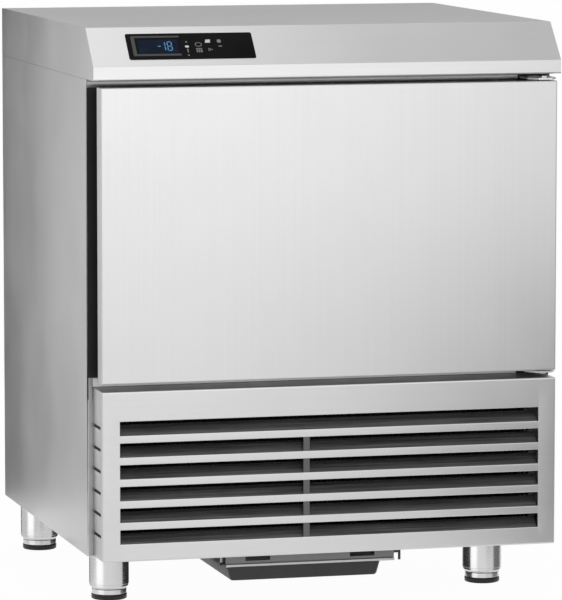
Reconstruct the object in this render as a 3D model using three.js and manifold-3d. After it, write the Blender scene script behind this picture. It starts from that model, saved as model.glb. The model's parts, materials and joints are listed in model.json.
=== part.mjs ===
// Under-counter blast chiller, millimetres, +Z up, front towards -Y, door hinged at +X.
// The origin lies on the floor under the middle of the overall box.
import * as THREE from "three";
import { mergeVertices } from "three/addons/utils/BufferGeometryUtils.js";
import Module from "manifold-3d";

const wasm = await Module();
wasm.setup();

// Overall sizes
const WIDTH = 750;
const DEPTH = 740;
const HEIGHT = 914;
const SHEET = 1.2;
const BEND = 2.5;
const GAP = 0.3;

// Levels above the floor
const BODY_BOTTOM = 92;
const GRILLE_TOP = BODY_BOTTOM + 265;
const DOOR_BOTTOM = GRILLE_TOP + 11.5;
const LIP_BOTTOM = HEIGHT - 79;
const LIP_TOP = HEIGHT - 57.5;
const DOOR_TOP = LIP_BOTTOM - 10.5;

// Plan positions
const HALF_W = WIDTH / 2;
const FRONT = -DEPTH / 2;
const REAR = DEPTH / 2;
const BODY_FRONT = FRONT + 66;
const BODY_REAR = REAR - 24;
const LIP_FRONT = BODY_FRONT - 56;
const FACE_INSET = 9;
const FACE_X = HALF_W - FACE_INSET;
const INNER_X = HALF_W - SHEET - GAP;

// Insulated box and chamber
const BOX_BOTTOM = BODY_BOTTOM + 246;
const BOX_TOP = LIP_BOTTOM + 19;
const WALL = 60;
const CHAMBER_X = INNER_X - WALL - 0.5;
const CHAMBER_BOTTOM = DOOR_BOTTOM + 35.5;
const CHAMBER_TOP = DOOR_TOP - 34.5;
const CHAMBER_REAR = BODY_REAR - 63;
const CHAMBER_R = 18;
const FRAME_DEPTH = 14;

function solid(geometry) {
  const bare = new THREE.BufferGeometry();
  bare.setAttribute("position", geometry.getAttribute("position"));
  if (geometry.index) {
    bare.setIndex(geometry.index);
  }
  const merged = mergeVertices(bare, 1e-4);
  const corners = merged.index.array;
  const kept = [];
  for (let i = 0; i < corners.length; i += 3) {
    const [a, b, c] = [corners[i], corners[i + 1], corners[i + 2]];
    if (a !== b && b !== c && c !== a) {
      kept.push(a, b, c);
    }
  }
  return new wasm.Manifold(new wasm.Mesh({
    numProp: 3,
    vertProperties: Float32Array.from(merged.attributes.position.array, (v) => Math.round(v * 1e4) / 1e4),
    triVerts: Uint32Array.from(kept),
  }));
}

function geometryOf(body) {
  const mesh = body.getMesh();
  const geometry = new THREE.BufferGeometry();
  geometry.setAttribute("position", new THREE.BufferAttribute(Float32Array.from(mesh.vertProperties), 3));
  geometry.setIndex(new THREE.BufferAttribute(Uint32Array.from(mesh.triVerts), 1));
  return geometry;
}

function join(bodies) {
  return bodies.reduce((whole, body) => whole.add(body));
}

function cut(body, tools) {
  return tools.reduce((left, tool) => left.subtract(tool), body);
}

function block(x0, x1, y0, y1, z0, z1) {
  const geometry = new THREE.BoxGeometry(x1 - x0, y1 - y0, z1 - z0);
  geometry.translate((x0 + x1) / 2, (y0 + y1) / 2, (z0 + z1) / 2);
  return solid(geometry);
}

function extrude(points, length) {
  const shape = new THREE.Shape(points.map(([u, v]) => new THREE.Vector2(u, v)));
  return new THREE.ExtrudeGeometry(shape, { depth: length, bevelEnabled: false });
}

// Outline in (x, y), raised from z0 to z1
function prismZ(points, z0, z1) {
  const geometry = extrude(points, z1 - z0);
  geometry.translate(0, 0, z0);
  return solid(geometry);
}

// Outline in (x, z), running from y0 to y1
function prismY(points, y0, y1) {
  const geometry = extrude(points, y1 - y0);
  geometry.rotateX(Math.PI / 2);
  geometry.translate(0, y1, 0);
  return solid(geometry);
}

// Outline in (y, z), running from x0 to x1
function prismX(points, x0, x1) {
  const geometry = extrude(points, x1 - x0);
  geometry.applyMatrix4(new THREE.Matrix4().set(0, 0, 1, x0, 1, 0, 0, 0, 0, 1, 0, 0, 0, 0, 0, 1));
  return solid(geometry);
}

// Open path moved sideways to its left
function beside(path, distance) {
  const normals = [];
  for (let i = 0; i < path.length - 1; i += 1) {
    const du = path[i + 1][0] - path[i][0];
    const dv = path[i + 1][1] - path[i][1];
    const size = Math.hypot(du, dv);
    normals.push([-dv / size, du / size]);
  }
  return path.map(([u, v], i) => {
    const a = normals[Math.max(i - 1, 0)];
    const b = normals[Math.min(i, normals.length - 1)];
    const scale = distance / (1 + a[0] * b[0] + a[1] * b[1]);
    return [u + (a[0] + b[0]) * scale, v + (a[1] + b[1]) * scale];
  });
}

// Closed strip of the given thickness laid on the left of an open path
function strip(path, thickness) {
  return [...path, ...beside(path, thickness).reverse()];
}

// Closed outline with an arc of the radius given for each corner, 0 for a sharp one
function filleted(points, radii, steps) {
  const count = points.length;
  return points.flatMap(([u, v], i) => {
    if (radii[i] === 0) {
      return [[u, v]];
    }
    const corner = new THREE.Vector2(u, v);
    const back = new THREE.Vector2(...points[(i + count - 1) % count]).sub(corner).normalize();
    const ahead = new THREE.Vector2(...points[(i + 1) % count]).sub(corner).normalize();
    const half = Math.acos(back.dot(ahead)) / 2;
    const centre = back.clone().add(ahead).setLength(radii[i] / Math.sin(half)).add(corner);
    const first = back.clone().multiplyScalar(radii[i] / Math.tan(half)).add(corner).sub(centre);
    const turn = Math.sign(ahead.cross(back)) * (Math.PI - 2 * half);
    return Array.from({ length: steps + 1 }, (_, k) => {
      const spoke = first.clone().rotateAround(new THREE.Vector2(), (turn * k) / steps);
      return [centre.x + spoke.x, centre.y + spoke.y];
    });
  });
}

// Rectangle with rounded corners as an outline
function roundedRect(u0, u1, v0, v1, r, steps = 5) {
  return filleted([[u0, v0], [u1, v0], [u1, v1], [u0, v1]], [r, r, r, r], steps);
}

function rodZ(x, y, r, z0, z1, segments = 20) {
  const geometry = new THREE.CylinderGeometry(r, r, z1 - z0, segments);
  geometry.rotateX(Math.PI / 2);
  geometry.translate(x, y, (z0 + z1) / 2);
  return solid(geometry);
}

function rodY(x, z, r, y0, y1, segments = 24) {
  const geometry = new THREE.CylinderGeometry(r, r, y1 - y0, segments);
  geometry.translate(x, (y0 + y1) / 2, z);
  return solid(geometry);
}

// Profile of (radius, height) pairs turned about a vertical axis
function turned(x, y, profile, segments) {
  const geometry = new THREE.LatheGeometry(profile.map(([r, z]) => new THREE.Vector2(r, z)), segments);
  geometry.rotateX(Math.PI / 2);
  geometry.translate(x, y, 0);
  return solid(geometry);
}

// Round bar of radius r along a smooth path with rounded bends
function bar(points, r, bend, steps, segments = 8) {
  const path = new THREE.CurvePath();
  const corner = points.map((p) => new THREE.Vector3(...p));
  let from = corner[0];
  for (let i = 1; i < corner.length - 1; i += 1) {
    const before = corner[i].clone().sub(corner[i - 1]).normalize().multiplyScalar(-bend).add(corner[i]);
    const after = corner[i + 1].clone().sub(corner[i]).normalize().multiplyScalar(bend).add(corner[i]);
    path.add(new THREE.LineCurve3(from, before));
    path.add(new THREE.QuadraticBezierCurve3(before, corner[i], after));
    from = after;
  }
  path.add(new THREE.LineCurve3(from, corner[corner.length - 1]));
  const ring = Array.from({ length: segments }, (_, k) => {
    const angle = (2 * Math.PI * k) / segments;
    return new THREE.Vector2(r * Math.cos(angle), r * Math.sin(angle));
  });
  const shape = new THREE.Shape(ring);
  return solid(new THREE.ExtrudeGeometry(shape, { steps, extrudePath: path, bevelEnabled: false }));
}

// Section of (inward, depth) pairs carried round a rectangle in the x-z plane with mitred corners
function frameSweep(section, halfX, z0, z1, yStart) {
  const corners = [[-1, 0], [1, 0], [1, 1], [-1, 1]];
  const rings = corners.map(([sx, top]) => section.map(([inward, depth]) => [
    sx * (halfX - inward),
    yStart + depth,
    top ? z1 - inward : z0 + inward,
  ]));
  const count = section.length;
  const positions = rings.flat(2);
  const index = [];
  for (let k = 0; k < 4; k += 1) {
    const next = (k + 1) % 4;
    for (let i = 0; i < count; i += 1) {
      const j = (i + 1) % count;
      index.push(k * count + i, next * count + i, next * count + j);
      index.push(k * count + i, next * count + j, k * count + j);
    }
  }
  const geometry = new THREE.BufferGeometry();
  geometry.setAttribute("position", new THREE.Float32BufferAttribute(positions, 3));
  geometry.setIndex(index);
  return solid(geometry);
}

const group = new THREE.Group();

const FINISH = {
  stainless: { color: 0xc4c7c9, roughness: 0.32, metalness: 1 },
  galvanised: { color: 0xa9adb0, roughness: 0.5, metalness: 0.9 },
  black_plastic: { color: 0x17181a, roughness: 0.5, metalness: 0 },
  grey_plastic: { color: 0x5a5d60, roughness: 0.55, metalness: 0 },
  rubber: { color: 0x1d1d1e, roughness: 0.85, metalness: 0 },
  foam: { color: 0xd8c98f, roughness: 0.95, metalness: 0 },
  glass_black: { color: 0x07080a, roughness: 0.06, metalness: 0 },
  aluminium: { color: 0xb8bbbd, roughness: 0.4, metalness: 1 },
  copper: { color: 0xb5724a, roughness: 0.3, metalness: 1 },
  black_paint: { color: 0x111213, roughness: 0.45, metalness: 0.2 },
};

function place(name, body, finish, x = 0, y = 0, z = 0) {
  const geometry = geometryOf(body);
  const mesh = new THREE.Mesh(geometry, new THREE.MeshStandardMaterial(FINISH[finish]));
  mesh.name = name;
  mesh.position.set(x, y, z);
  group.add(mesh);
  return mesh;
}

// ---------------------------------------------------------------- hood
const SLOPE_RUN = BODY_FRONT - LIP_FRONT;
const SLOPE_DROP = HEIGHT - LIP_TOP;
const SLOPE_LENGTH = Math.hypot(SLOPE_RUN, SLOPE_DROP);
const LENS_W = 200;
const LENS_H = 52;
const LENS_X = -HALF_W + 59.5 + LENS_W / 2;
const LENS_DOWN = 14.5 + LENS_H / 2;
const LENS_THICK = 3;
const LENS_PROUD = 0.8;

// Local frame of the sloped fascia: u = +x, v = up the slope, n = outwards
function onSlope(geometry) {
  const up = new THREE.Vector3(0, SLOPE_RUN, SLOPE_DROP).divideScalar(SLOPE_LENGTH);
  const across = new THREE.Vector3(1, 0, 0);
  const out = new THREE.Vector3().crossVectors(across, up);
  const origin = new THREE.Vector3(LENS_X, BODY_FRONT, HEIGHT).addScaledVector(up, -LENS_DOWN);
  geometry.applyMatrix4(new THREE.Matrix4().makeBasis(across, up, out).setPosition(origin));
  return solid(geometry);
}

function slopeBlock(w, h, n0, n1, radius = 0) {
  const outline = radius > 0
    ? roundedRect(-w / 2, w / 2, -h / 2, h / 2, radius, 3)
    : [[-w / 2, -h / 2], [w / 2, -h / 2], [w / 2, h / 2], [-w / 2, h / 2]];
  const geometry = extrude(outline, n1 - n0);
  geometry.translate(0, 0, n0);
  return onSlope(geometry);
}

const HOOD_OUTLINE = filleted([
  [BODY_REAR, LIP_BOTTOM],
  [BODY_REAR, HEIGHT],
  [BODY_FRONT, HEIGHT],
  [LIP_FRONT, LIP_TOP],
  [LIP_FRONT, LIP_BOTTOM],
], [0, BEND, BEND, BEND, BEND], 3);
const UNDERSIDE_END = BODY_FRONT - 1;
const hoodHollow = prismX([
  ...beside([...HOOD_OUTLINE, [UNDERSIDE_END, LIP_BOTTOM]], SHEET),
  [UNDERSIDE_END, LIP_BOTTOM - 1],
  [BODY_REAR - SHEET, LIP_BOTTOM - 1],
], -HALF_W + SHEET, HALF_W - SHEET);
place("hood_cover", cut(prismX(HOOD_OUTLINE, -HALF_W, HALF_W), [
  hoodHollow,
  slopeBlock(LENS_W + 2 * GAP, LENS_H + 2 * GAP, -6, 6, 3),
]), "stainless");

place("display_lens", slopeBlock(LENS_W, LENS_H, LENS_PROUD - LENS_THICK, LENS_PROUD, 3), "glass_black");

const MODULE_TOP = LENS_PROUD - LENS_THICK - GAP;
place("display_module", join([
  slopeBlock(LENS_W + 14, LENS_H + 12, MODULE_TOP - 2.5, MODULE_TOP),
  slopeBlock(LENS_W - 16, LENS_H - 10, MODULE_TOP - 16, MODULE_TOP - 2),
]), "black_plastic");

const BOARD = {
  x0: -HALF_W + 45,
  x1: -HALF_W + 265,
  y0: BODY_FRONT + 19,
  y1: BODY_FRONT + 194,
  z0: BOX_TOP + GAP,
  z1: BOX_TOP + 42,
};
place("control_board_box", cut(
  block(BOARD.x0, BOARD.x1, BOARD.y0, BOARD.y1, BOARD.z0, BOARD.z1),
  [0, 1, 2, 3, 4].map((i) => {
    const x = BOARD.x0 + 30 + 38 * i;
    return block(x, x + 14, BOARD.y0 + 20, BOARD.y1 - 20, BOARD.z1 - 3, BOARD.z1 + 1);
  }),
), "grey_plastic");

// ---------------------------------------------------------------- side, back and base sheets
const FLANGE = 15;
for (const [name, side] of [["side_panel_left", -1], ["side_panel_right", 1]]) {
  const slab = (a, b, y0, y1, z0, z1) => {
    const xs = [side * (HALF_W - a), side * (HALF_W - b)].sort((p, q) => p - q);
    return block(xs[0], xs[1], y0, y1, z0, z1);
  };
  const top = LIP_BOTTOM - GAP;
  place(name, cut(slab(0, FLANGE, BODY_FRONT, BODY_REAR, BODY_BOTTOM, top), [
    slab(SHEET, FLANGE + 5, BODY_FRONT + SHEET, BODY_REAR - SHEET, BODY_BOTTOM + SHEET, top + 1),
    slab(SHEET, FLANGE + 5, BODY_FRONT - 1, BODY_FRONT + 20, BOX_BOTTOM - GAP, top + 2),
  ]), "stainless");
}

const BACK_Y1 = BODY_REAR - SHEET - GAP;
const BACK_Y0 = BACK_Y1 - SHEET;
const BACK_TOP = HEIGHT - BEND - GAP;
place("back_panel", block(-INNER_X, INNER_X, BACK_Y0, BACK_Y1, BOX_BOTTOM, BACK_TOP), "galvanised");

const BASE_Z0 = BODY_BOTTOM + SHEET + GAP;
const BASE_Z1 = BASE_Z0 + 1.5;
const ON_BASE = BASE_Z1 + GAP;
const GLAND = { x: HALF_W - 75, z: BODY_BOTTOM + 43, r: 7.5 };
const VENT = { pitch: 22, height: 8, z: ON_BASE + 42, centre: 30, edge: 75, besideGland: 60, over: 20 };
const ventRows = Math.floor((BOX_BOTTOM - VENT.over - VENT.z) / VENT.pitch);
const ventSlots = [];
for (let i = 0; i < ventRows; i += 1) {
  const z = VENT.z + VENT.pitch * i;
  for (const [x0, x1] of [[-HALF_W + VENT.edge, -VENT.centre], [VENT.centre, GLAND.x - VENT.besideGland]]) {
    ventSlots.push(block(x0, x1, BACK_Y0 - 1, BACK_Y1 + 1, z, z + VENT.height));
  }
}
place("rear_vent_panel", cut(
  block(-INNER_X, INNER_X, BACK_Y0, BACK_Y1, ON_BASE, BOX_BOTTOM - GAP),
  [...ventSlots, rodY(GLAND.x, GLAND.z, GLAND.r + GAP, BACK_Y0 - 1, BACK_Y1 + 1)],
), "galvanised");
place("power_inlet_gland", join([
  rodY(GLAND.x, GLAND.z, GLAND.r, BACK_Y0 - 6, BACK_Y1 + 2, 24),
  rodY(GLAND.x, GLAND.z, 12, BACK_Y1 + GAP, BACK_Y1 + 7, 6),
  rodY(GLAND.x, GLAND.z, 9.5, BACK_Y1 + 6, BACK_Y1 + 16, 24),
]), "black_plastic");

const DRAIN = { x: -20, y: BODY_FRONT + 244, r: 10.5, bore: 8.5 };
const DRAIN_SIDES = 20;
const TONGUE_X = HALF_W - 20;
const LIP_X = HALF_W - 40;
const UPSTAND = 20;
const AIR_SLOTS = 7;
const AIR_HALF = 90;
const baseCuts = [rodZ(DRAIN.x, DRAIN.y, DRAIN.r + GAP, BASE_Z0 - 1, BASE_Z1 + 1, DRAIN_SIDES)];
for (let i = 0; i < AIR_SLOTS; i += 1) {
  const y = DRAIN.y + 80 + 26 * i;
  baseCuts.push(block(DRAIN.x - AIR_HALF, DRAIN.x + AIR_HALF, y, y + 10, BASE_Z0 - 1, BASE_Z1 + 1));
}
place("base_chassis", cut(join([
  block(-INNER_X, INNER_X, BODY_FRONT + SHEET + GAP, BODY_REAR - SHEET - GAP, BASE_Z0, BASE_Z1),
  block(-TONGUE_X, TONGUE_X, BODY_REAR - 40, REAR, BASE_Z0, BASE_Z1),
  block(-TONGUE_X, TONGUE_X, REAR - SHEET, REAR, BASE_Z0, BASE_Z1 + UPSTAND),
  block(-LIP_X, LIP_X, BODY_FRONT + SHEET + GAP, BODY_FRONT + 2 * SHEET + GAP, BASE_Z0, BASE_Z1 + UPSTAND),
]), baseCuts), "galvanised");

const POST = 30;
const POST_T = 2;
const postFront = BODY_FRONT + SHEET + 2 * GAP;
const postRear = BACK_Y0 - GAP;
for (const [name, side, end] of [
  ["compartment_post_front_left", -1, -1],
  ["compartment_post_front_right", 1, -1],
  ["compartment_post_rear_left", -1, 1],
  ["compartment_post_rear_right", 1, 1],
]) {
  const cornerX = side * (INNER_X - GAP);
  const cornerY = end < 0 ? postFront : postRear;
  const sort = (a, b) => [Math.min(a, b), Math.max(a, b)];
  const [wx0, wx1] = sort(cornerX, cornerX - side * POST);
  const [wy0, wy1] = sort(cornerY, cornerY - end * POST);
  const [hx0, hx1] = sort(cornerX - side * POST_T, cornerX - side * (POST + 1));
  const [hy0, hy1] = sort(cornerY - end * POST_T, cornerY - end * (POST + 1));
  place(name, cut(
    block(wx0, wx1, wy0, wy1, ON_BASE, BOX_BOTTOM - GAP),
    [block(hx0, hx1, hy0, hy1, ON_BASE - 1, BOX_BOTTOM + 1)],
  ), "galvanised");
}

// ---------------------------------------------------------------- insulated box
const FRAME_TOP = LIP_BOTTOM - 2 * GAP;
const frameBack = BODY_FRONT + FRAME_DEPTH;
const opening = (grow, y0, y1) => prismY(
  roundedRect(-CHAMBER_X - grow, CHAMBER_X + grow, CHAMBER_BOTTOM - grow, CHAMBER_TOP + grow, CHAMBER_R + grow),
  y0,
  y1,
);
place("door_frame", cut(
  block(-INNER_X, INNER_X, BODY_FRONT, frameBack, BOX_BOTTOM, FRAME_TOP),
  [opening(0, BODY_FRONT - 1, frameBack + 1)],
), "black_plastic");

const floorTop = CHAMBER_BOTTOM + GAP + SHEET;
const EVAP_COIL = {
  x: CHAMBER_X - 98,
  y0: CHAMBER_REAR - 79,
  y1: CHAMBER_REAR - 17,
  z0: floorTop + 18 + GAP,
  z1: CHAMBER_TOP - 24,
};
const LINE_X = EVAP_COIL.x + 20;
const LINE_Y = EVAP_COIL.y0 + 21;
const SUCTION_R = 8;
const FEED_X = -EVAP_COIL.x - 25;
const FEED_R = 5;
const linePasses = (z0, z1) => [
  rodZ(DRAIN.x, DRAIN.y, DRAIN.r + GAP, z0, z1, DRAIN_SIDES),
  rodZ(LINE_X, LINE_Y, SUCTION_R + 1, z0, z1, 16),
  rodZ(FEED_X, LINE_Y, FEED_R + 1, z0, z1, 16),
];
place("chamber_insulation", cut(
  block(-INNER_X, INNER_X, frameBack + GAP, BACK_Y0 - GAP, BOX_BOTTOM, BOX_TOP),
  [opening(0, frameBack, CHAMBER_REAR + GAP), ...linePasses(BOX_BOTTOM - 5, CHAMBER_BOTTOM + 5)],
), "foam");
place("chamber_liner", cut(
  opening(-GAP, BODY_FRONT + 1, CHAMBER_REAR),
  [
    opening(-GAP - SHEET, BODY_FRONT, CHAMBER_REAR - SHEET),
    ...linePasses(CHAMBER_BOTTOM - 2, CHAMBER_BOTTOM + 5),
  ],
), "stainless");

const DRAIN_END = BODY_BOTTOM - 8;
place("drain_tube", cut(join([
  rodZ(DRAIN.x, DRAIN.y, DRAIN.r, DRAIN_END, floorTop + 2, DRAIN_SIDES),
  rodZ(DRAIN.x, DRAIN.y, DRAIN.r + 8, floorTop + GAP, floorTop + 2, DRAIN_SIDES),
]), [rodZ(DRAIN.x, DRAIN.y, DRAIN.bore, DRAIN_END - 1, floorTop + 5, DRAIN_SIDES)]), "grey_plastic");

// ---------------------------------------------------------------- tray racks
const RUNNER_PITCH = 66;
const RUNNER_START = CHAMBER_BOTTOM + 36;
const RUNNER_CEILING = 50;
const RUNNERS = 1 + Math.floor((CHAMBER_TOP - RUNNER_CEILING - RUNNER_START) / RUNNER_PITCH);
const EVAP_PANEL_Y = CHAMBER_REAR - 151;
const RACK_Y0 = frameBack + 24;
const RACK_Y1 = EVAP_PANEL_Y - 18;
const LEDGE = 25;
for (const [name, side] of [["tray_rack_left", -1], ["tray_rack_right", 1]]) {
  const wall = CHAMBER_X - 2 * GAP - SHEET;
  const slab = (a, b, y0, y1, z0, z1) => {
    const xs = [side * (wall - a), side * (wall - b)].sort((p, q) => p - q);
    return block(xs[0], xs[1], y0, y1, z0, z1);
  };
  const pieces = [RACK_Y0 + 30, RACK_Y1 - 44].map((y) => (
    slab(0, 4, y, y + 14, RUNNER_START - 14, RUNNER_START + RUNNER_PITCH * (RUNNERS - 1) + 40)
  ));
  for (let i = 0; i < RUNNERS; i += 1) {
    const z = RUNNER_START + RUNNER_PITCH * i;
    pieces.push(cut(slab(3, LEDGE, RACK_Y0, RACK_Y1, z, z + 14), [
      slab(4.5, LEDGE + 1, RACK_Y0 - 1, RACK_Y1 - 1.5, z + 1.5, z + 15),
      slab(4.5, LEDGE + 1, RACK_Y0 - 1, RACK_Y1 + 1, z + 10, z + 16),
    ]));
  }
  place(name, join(pieces), "stainless");
}

// ---------------------------------------------------------------- fans
function fanBlade(count, tip, hub, width, boreDepth) {
  const parts = [rodY(0, 0, hub, 0, width, 24)];
  for (let k = 0; k < count; k += 1) {
    const stations = 4;
    const rings = [];
    for (let s = 0; s <= stations; s += 1) {
      const t = s / stations;
      const radius = hub * 0.8 + (tip - hub * 0.8) * t;
      const pitch = THREE.MathUtils.degToRad(42 - 18 * t);
      const chord = (0.34 + 0.16 * t) * tip;
      const run = Math.min((chord * Math.cos(pitch)) / 2, radius * 0.98);
      const rise = Math.min((chord * Math.sin(pitch)) / 2, width / 2 - 2.2);
      for (const [a, b] of [[-1, -1], [1, -1], [1, 1], [-1, 1]]) {
        const x = a * run;
        const z = Math.sqrt(radius * radius - x * x);
        rings.push([x, width / 2 + a * rise + b * 0.9, z]);
      }
    }
    const index = [];
    for (let s = 0; s < stations; s += 1) {
      for (let i = 0; i < 4; i += 1) {
        const j = (i + 1) % 4;
        index.push(4 * s + i, 4 * s + j, 4 * s + 4 + j);
        index.push(4 * s + i, 4 * s + 4 + j, 4 * s + 4 + i);
      }
    }
    const last = 4 * stations;
    index.push(0, 2, 1, 0, 3, 2, last, last + 1, last + 2, last, last + 2, last + 3);
    const geometry = new THREE.BufferGeometry();
    geometry.setAttribute("position", new THREE.Float32BufferAttribute(rings.flat(), 3));
    geometry.setIndex(index);
    geometry.rotateY((2 * Math.PI * k) / count);
    parts.push(solid(geometry));
  }
  return cut(join(parts), [rodY(0, 0, 4.5 + GAP, width - boreDepth, width + 1, 16)]);
}

// Motor on three arms, shaft towards -y, arms ending at a plate in front
function fanMotor(r, y0, y1, shaftY, armR, plateY) {
  const parts = [rodY(0, 0, r, y0, y1, 28), rodY(0, 0, 4.5, shaftY, y0 + 1, 16)];
  for (const angle of [90, 210, 330]) {
    const radial = new THREE.BoxGeometry(armR + 3 - r * 0.6, 4, 14);
    radial.translate((armR + 3 + r * 0.6) / 2, y1 - 6, 0);
    const axial = new THREE.BoxGeometry(4, y1 - 5 - plateY, 12);
    axial.translate(armR + 2, (y1 - 5 + plateY) / 2, 0);
    for (const piece of [radial, axial]) {
      piece.rotateY(THREE.MathUtils.degToRad(-angle));
      parts.push(solid(piece));
    }
  }
  return join(parts);
}

// ---------------------------------------------------------------- finned coils
function finnedCoil(x0, x1, y0, y1, z0, z1, teeth, bends) {
  const PLATE = 3;
  const grooves = [];
  const pitch = (x1 - x0) / teeth;
  for (let i = 0; i < teeth; i += 1) {
    const x = x0 + pitch * i;
    grooves.push([x, y0 + 12], [x + pitch * 0.35, y0 + 12], [x + pitch * 0.35, y0], [x + pitch, y0]);
  }
  const comb = prismZ([...grooves, [x1, y1], [x0, y1]], z0 + 2, z1 - 2);
  const parts = [comb];
  for (const x of [x0 - PLATE, x1]) {
    parts.push(block(x, x + PLATE, y0, y1, z0, z1));
  }
  const step = (z1 - z0) / (bends + 0.5);
  const R = step * 0.28;
  const yMid = (y0 + y1) / 2;
  for (let i = 0; i < bends; i += 1) {
    const z = z0 + step * (i + 0.5);
    for (const side of [-1, 1]) {
      const x = side < 0 ? x0 - PLATE : x1 + PLATE;
      const shift = step * (side < 0 ? 0.12 : 0.25);
      parts.push(bar([
        [x - side * 1, yMid, z + shift - R],
        [x + side * R, yMid, z + shift - R],
        [x + side * R, yMid, z + shift + R],
        [x - side * 1, yMid, z + shift + R],
      ], 4.5, R * 0.8, 8, 6));
    }
  }
  return join(parts);
}

// ---------------------------------------------------------------- evaporator
const PANEL_X = CHAMBER_X - 11;
const PANEL_Z0 = floorTop + 12;
const PANEL_Z1 = CHAMBER_TOP - 14;
const PANEL_DEEP = CHAMBER_REAR - SHEET - GAP - EVAP_PANEL_Y;
const FAN_TIP_GAP = 8;
const FAN_ARM = 12;
const evapFanRoom = (PANEL_Z1 - PANEL_Z0) / 2 - FAN_ARM - 4;
const EVAP_FAN = { x: 0, z: (CHAMBER_BOTTOM + CHAMBER_TOP) / 2, r: Math.min(100, evapFanRoom) };
const GUARD_PITCH = 22;
const guardCount = Math.floor(EVAP_FAN.r / GUARD_PITCH);
const guardBars = [];
for (let i = -guardCount; i <= guardCount; i += 1) {
  const half = Math.sqrt(EVAP_FAN.r ** 2 - (i * GUARD_PITCH) ** 2);
  if (half > 20) {
    const z = EVAP_FAN.z + i * GUARD_PITCH;
    guardBars.push(block(-half, half, EVAP_PANEL_Y - 1, EVAP_PANEL_Y + 2 * SHEET, z - 8.5, z + 8.5));
  }
}
const RETURN = { pitch: 44, height: 20, start: PANEL_Z0 + 32, end: PANEL_Z1 - 10 };
const returnRows = 1 + Math.floor((RETURN.end - RETURN.height - RETURN.start) / RETURN.pitch);
const returnSlots = [];
for (const side of [-1, 1]) {
  for (let i = 0; i < returnRows; i += 1) {
    const z = RETURN.start + RETURN.pitch * i;
    const xs = [side * (EVAP_FAN.r + 70), side * (PANEL_X - 32)].sort((p, q) => p - q);
    returnSlots.push(block(xs[0], xs[1], EVAP_PANEL_Y - 1, EVAP_PANEL_Y + 2 * SHEET, z, z + RETURN.height));
  }
}
place("evaporator_fan_panel", cut(
  block(-PANEL_X, PANEL_X, EVAP_PANEL_Y, EVAP_PANEL_Y + PANEL_DEEP, PANEL_Z0, PANEL_Z1),
  [
    block(
      -PANEL_X + SHEET,
      PANEL_X - SHEET,
      EVAP_PANEL_Y + SHEET,
      EVAP_PANEL_Y + PANEL_DEEP + 1,
      PANEL_Z0 - 1,
      PANEL_Z1 + 1,
    ),
    ...guardBars,
    ...returnSlots,
  ],
), "stainless");

const EVAP_BLADE_Y = EVAP_PANEL_Y + 6;
const EVAP_BLADE_W = 22;
const FAN_HUB = 22;
place(
  "evaporator_fan_blade",
  fanBlade(5, EVAP_FAN.r - FAN_TIP_GAP, FAN_HUB, EVAP_BLADE_W, 12),
  "black_plastic",
  EVAP_FAN.x,
  EVAP_BLADE_Y,
  EVAP_FAN.z,
);
place(
  "evaporator_fan_motor",
  fanMotor(36, 4, 36, -11, EVAP_FAN.r + FAN_ARM, -EVAP_BLADE_W - 4.8 + GAP),
  "black_paint",
  EVAP_FAN.x,
  EVAP_BLADE_Y + EVAP_BLADE_W,
  EVAP_FAN.z,
);
place("evaporator_coil", join([
  finnedCoil(-EVAP_COIL.x, EVAP_COIL.x, EVAP_COIL.y0, EVAP_COIL.y1, EVAP_COIL.z0, EVAP_COIL.z1, 16, 3),
  block(-EVAP_COIL.x, -EVAP_COIL.x + 20, EVAP_COIL.y0 + 10, EVAP_COIL.y1 - 10, floorTop + GAP, EVAP_COIL.z0 + 4),
  block(EVAP_COIL.x - 20, EVAP_COIL.x, EVAP_COIL.y0 + 10, EVAP_COIL.y1 - 10, floorTop + GAP, EVAP_COIL.z0 + 4),
]), "aluminium");

// ---------------------------------------------------------------- machine compartment
const ELEC = {
  x0: HALF_W - 257,
  x1: HALF_W - 47,
  y0: BODY_FRONT + 18,
  y1: BODY_FRONT + 92,
  z0: ON_BASE,
  z1: ON_BASE + 205,
};
const COND = {
  x0: -HALF_W + 43,
  x1: ELEC.x0 - 56,
  y0: BODY_FRONT + 16,
  y1: BODY_FRONT + 66,
  z0: ON_BASE,
  z1: BOX_BOTTOM - 14,
};
place(
  "condenser_coil",
  finnedCoil(COND.x0, COND.x1, COND.y0, COND.y1, COND.z0, COND.z1, 18, 3),
  "aluminium",
);
const SHROUD_Y0 = COND.y1 + GAP;
const SHROUD_Y1 = SHROUD_Y0 + 48;
const condFanRoom = Math.min(COND.x1 - COND.x0, COND.z1 - COND.z0) / 2 - 14;
const COND_FAN = { x: (COND.x0 + COND.x1) / 2, z: (COND.z0 + COND.z1) / 2, r: Math.min(98, condFanRoom) };
const shroudOutline = (grow) => prismY(
  [
    [COND.x0 - grow, COND.z0 - grow],
    [COND.x1 + grow, COND.z0 - grow],
    [COND.x1 + grow, COND.z1 + grow],
    [COND.x0 - grow, COND.z1 + grow],
  ],
  grow < 0 ? SHROUD_Y0 - 1 : SHROUD_Y0,
  grow < 0 ? SHROUD_Y1 - SHEET : SHROUD_Y1,
);
place("condenser_fan_shroud", cut(join([
  shroudOutline(0).subtract(shroudOutline(-SHEET)),
  rodY(COND_FAN.x, COND_FAN.z, COND_FAN.r + SHEET, SHROUD_Y1 - 22, SHROUD_Y1 + 10, 36),
]), [rodY(COND_FAN.x, COND_FAN.z, COND_FAN.r, SHROUD_Y0 - 1, SHROUD_Y1 + 11, 36)]), "galvanised");
const COND_BLADE_W = 24;
const COND_BLADE_Y = SHROUD_Y1 - 18;
place(
  "condenser_fan_blade",
  fanBlade(5, COND_FAN.r - 6, FAN_HUB, COND_BLADE_W, 12),
  "black_plastic",
  COND_FAN.x,
  COND_BLADE_Y,
  COND_FAN.z,
);
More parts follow.
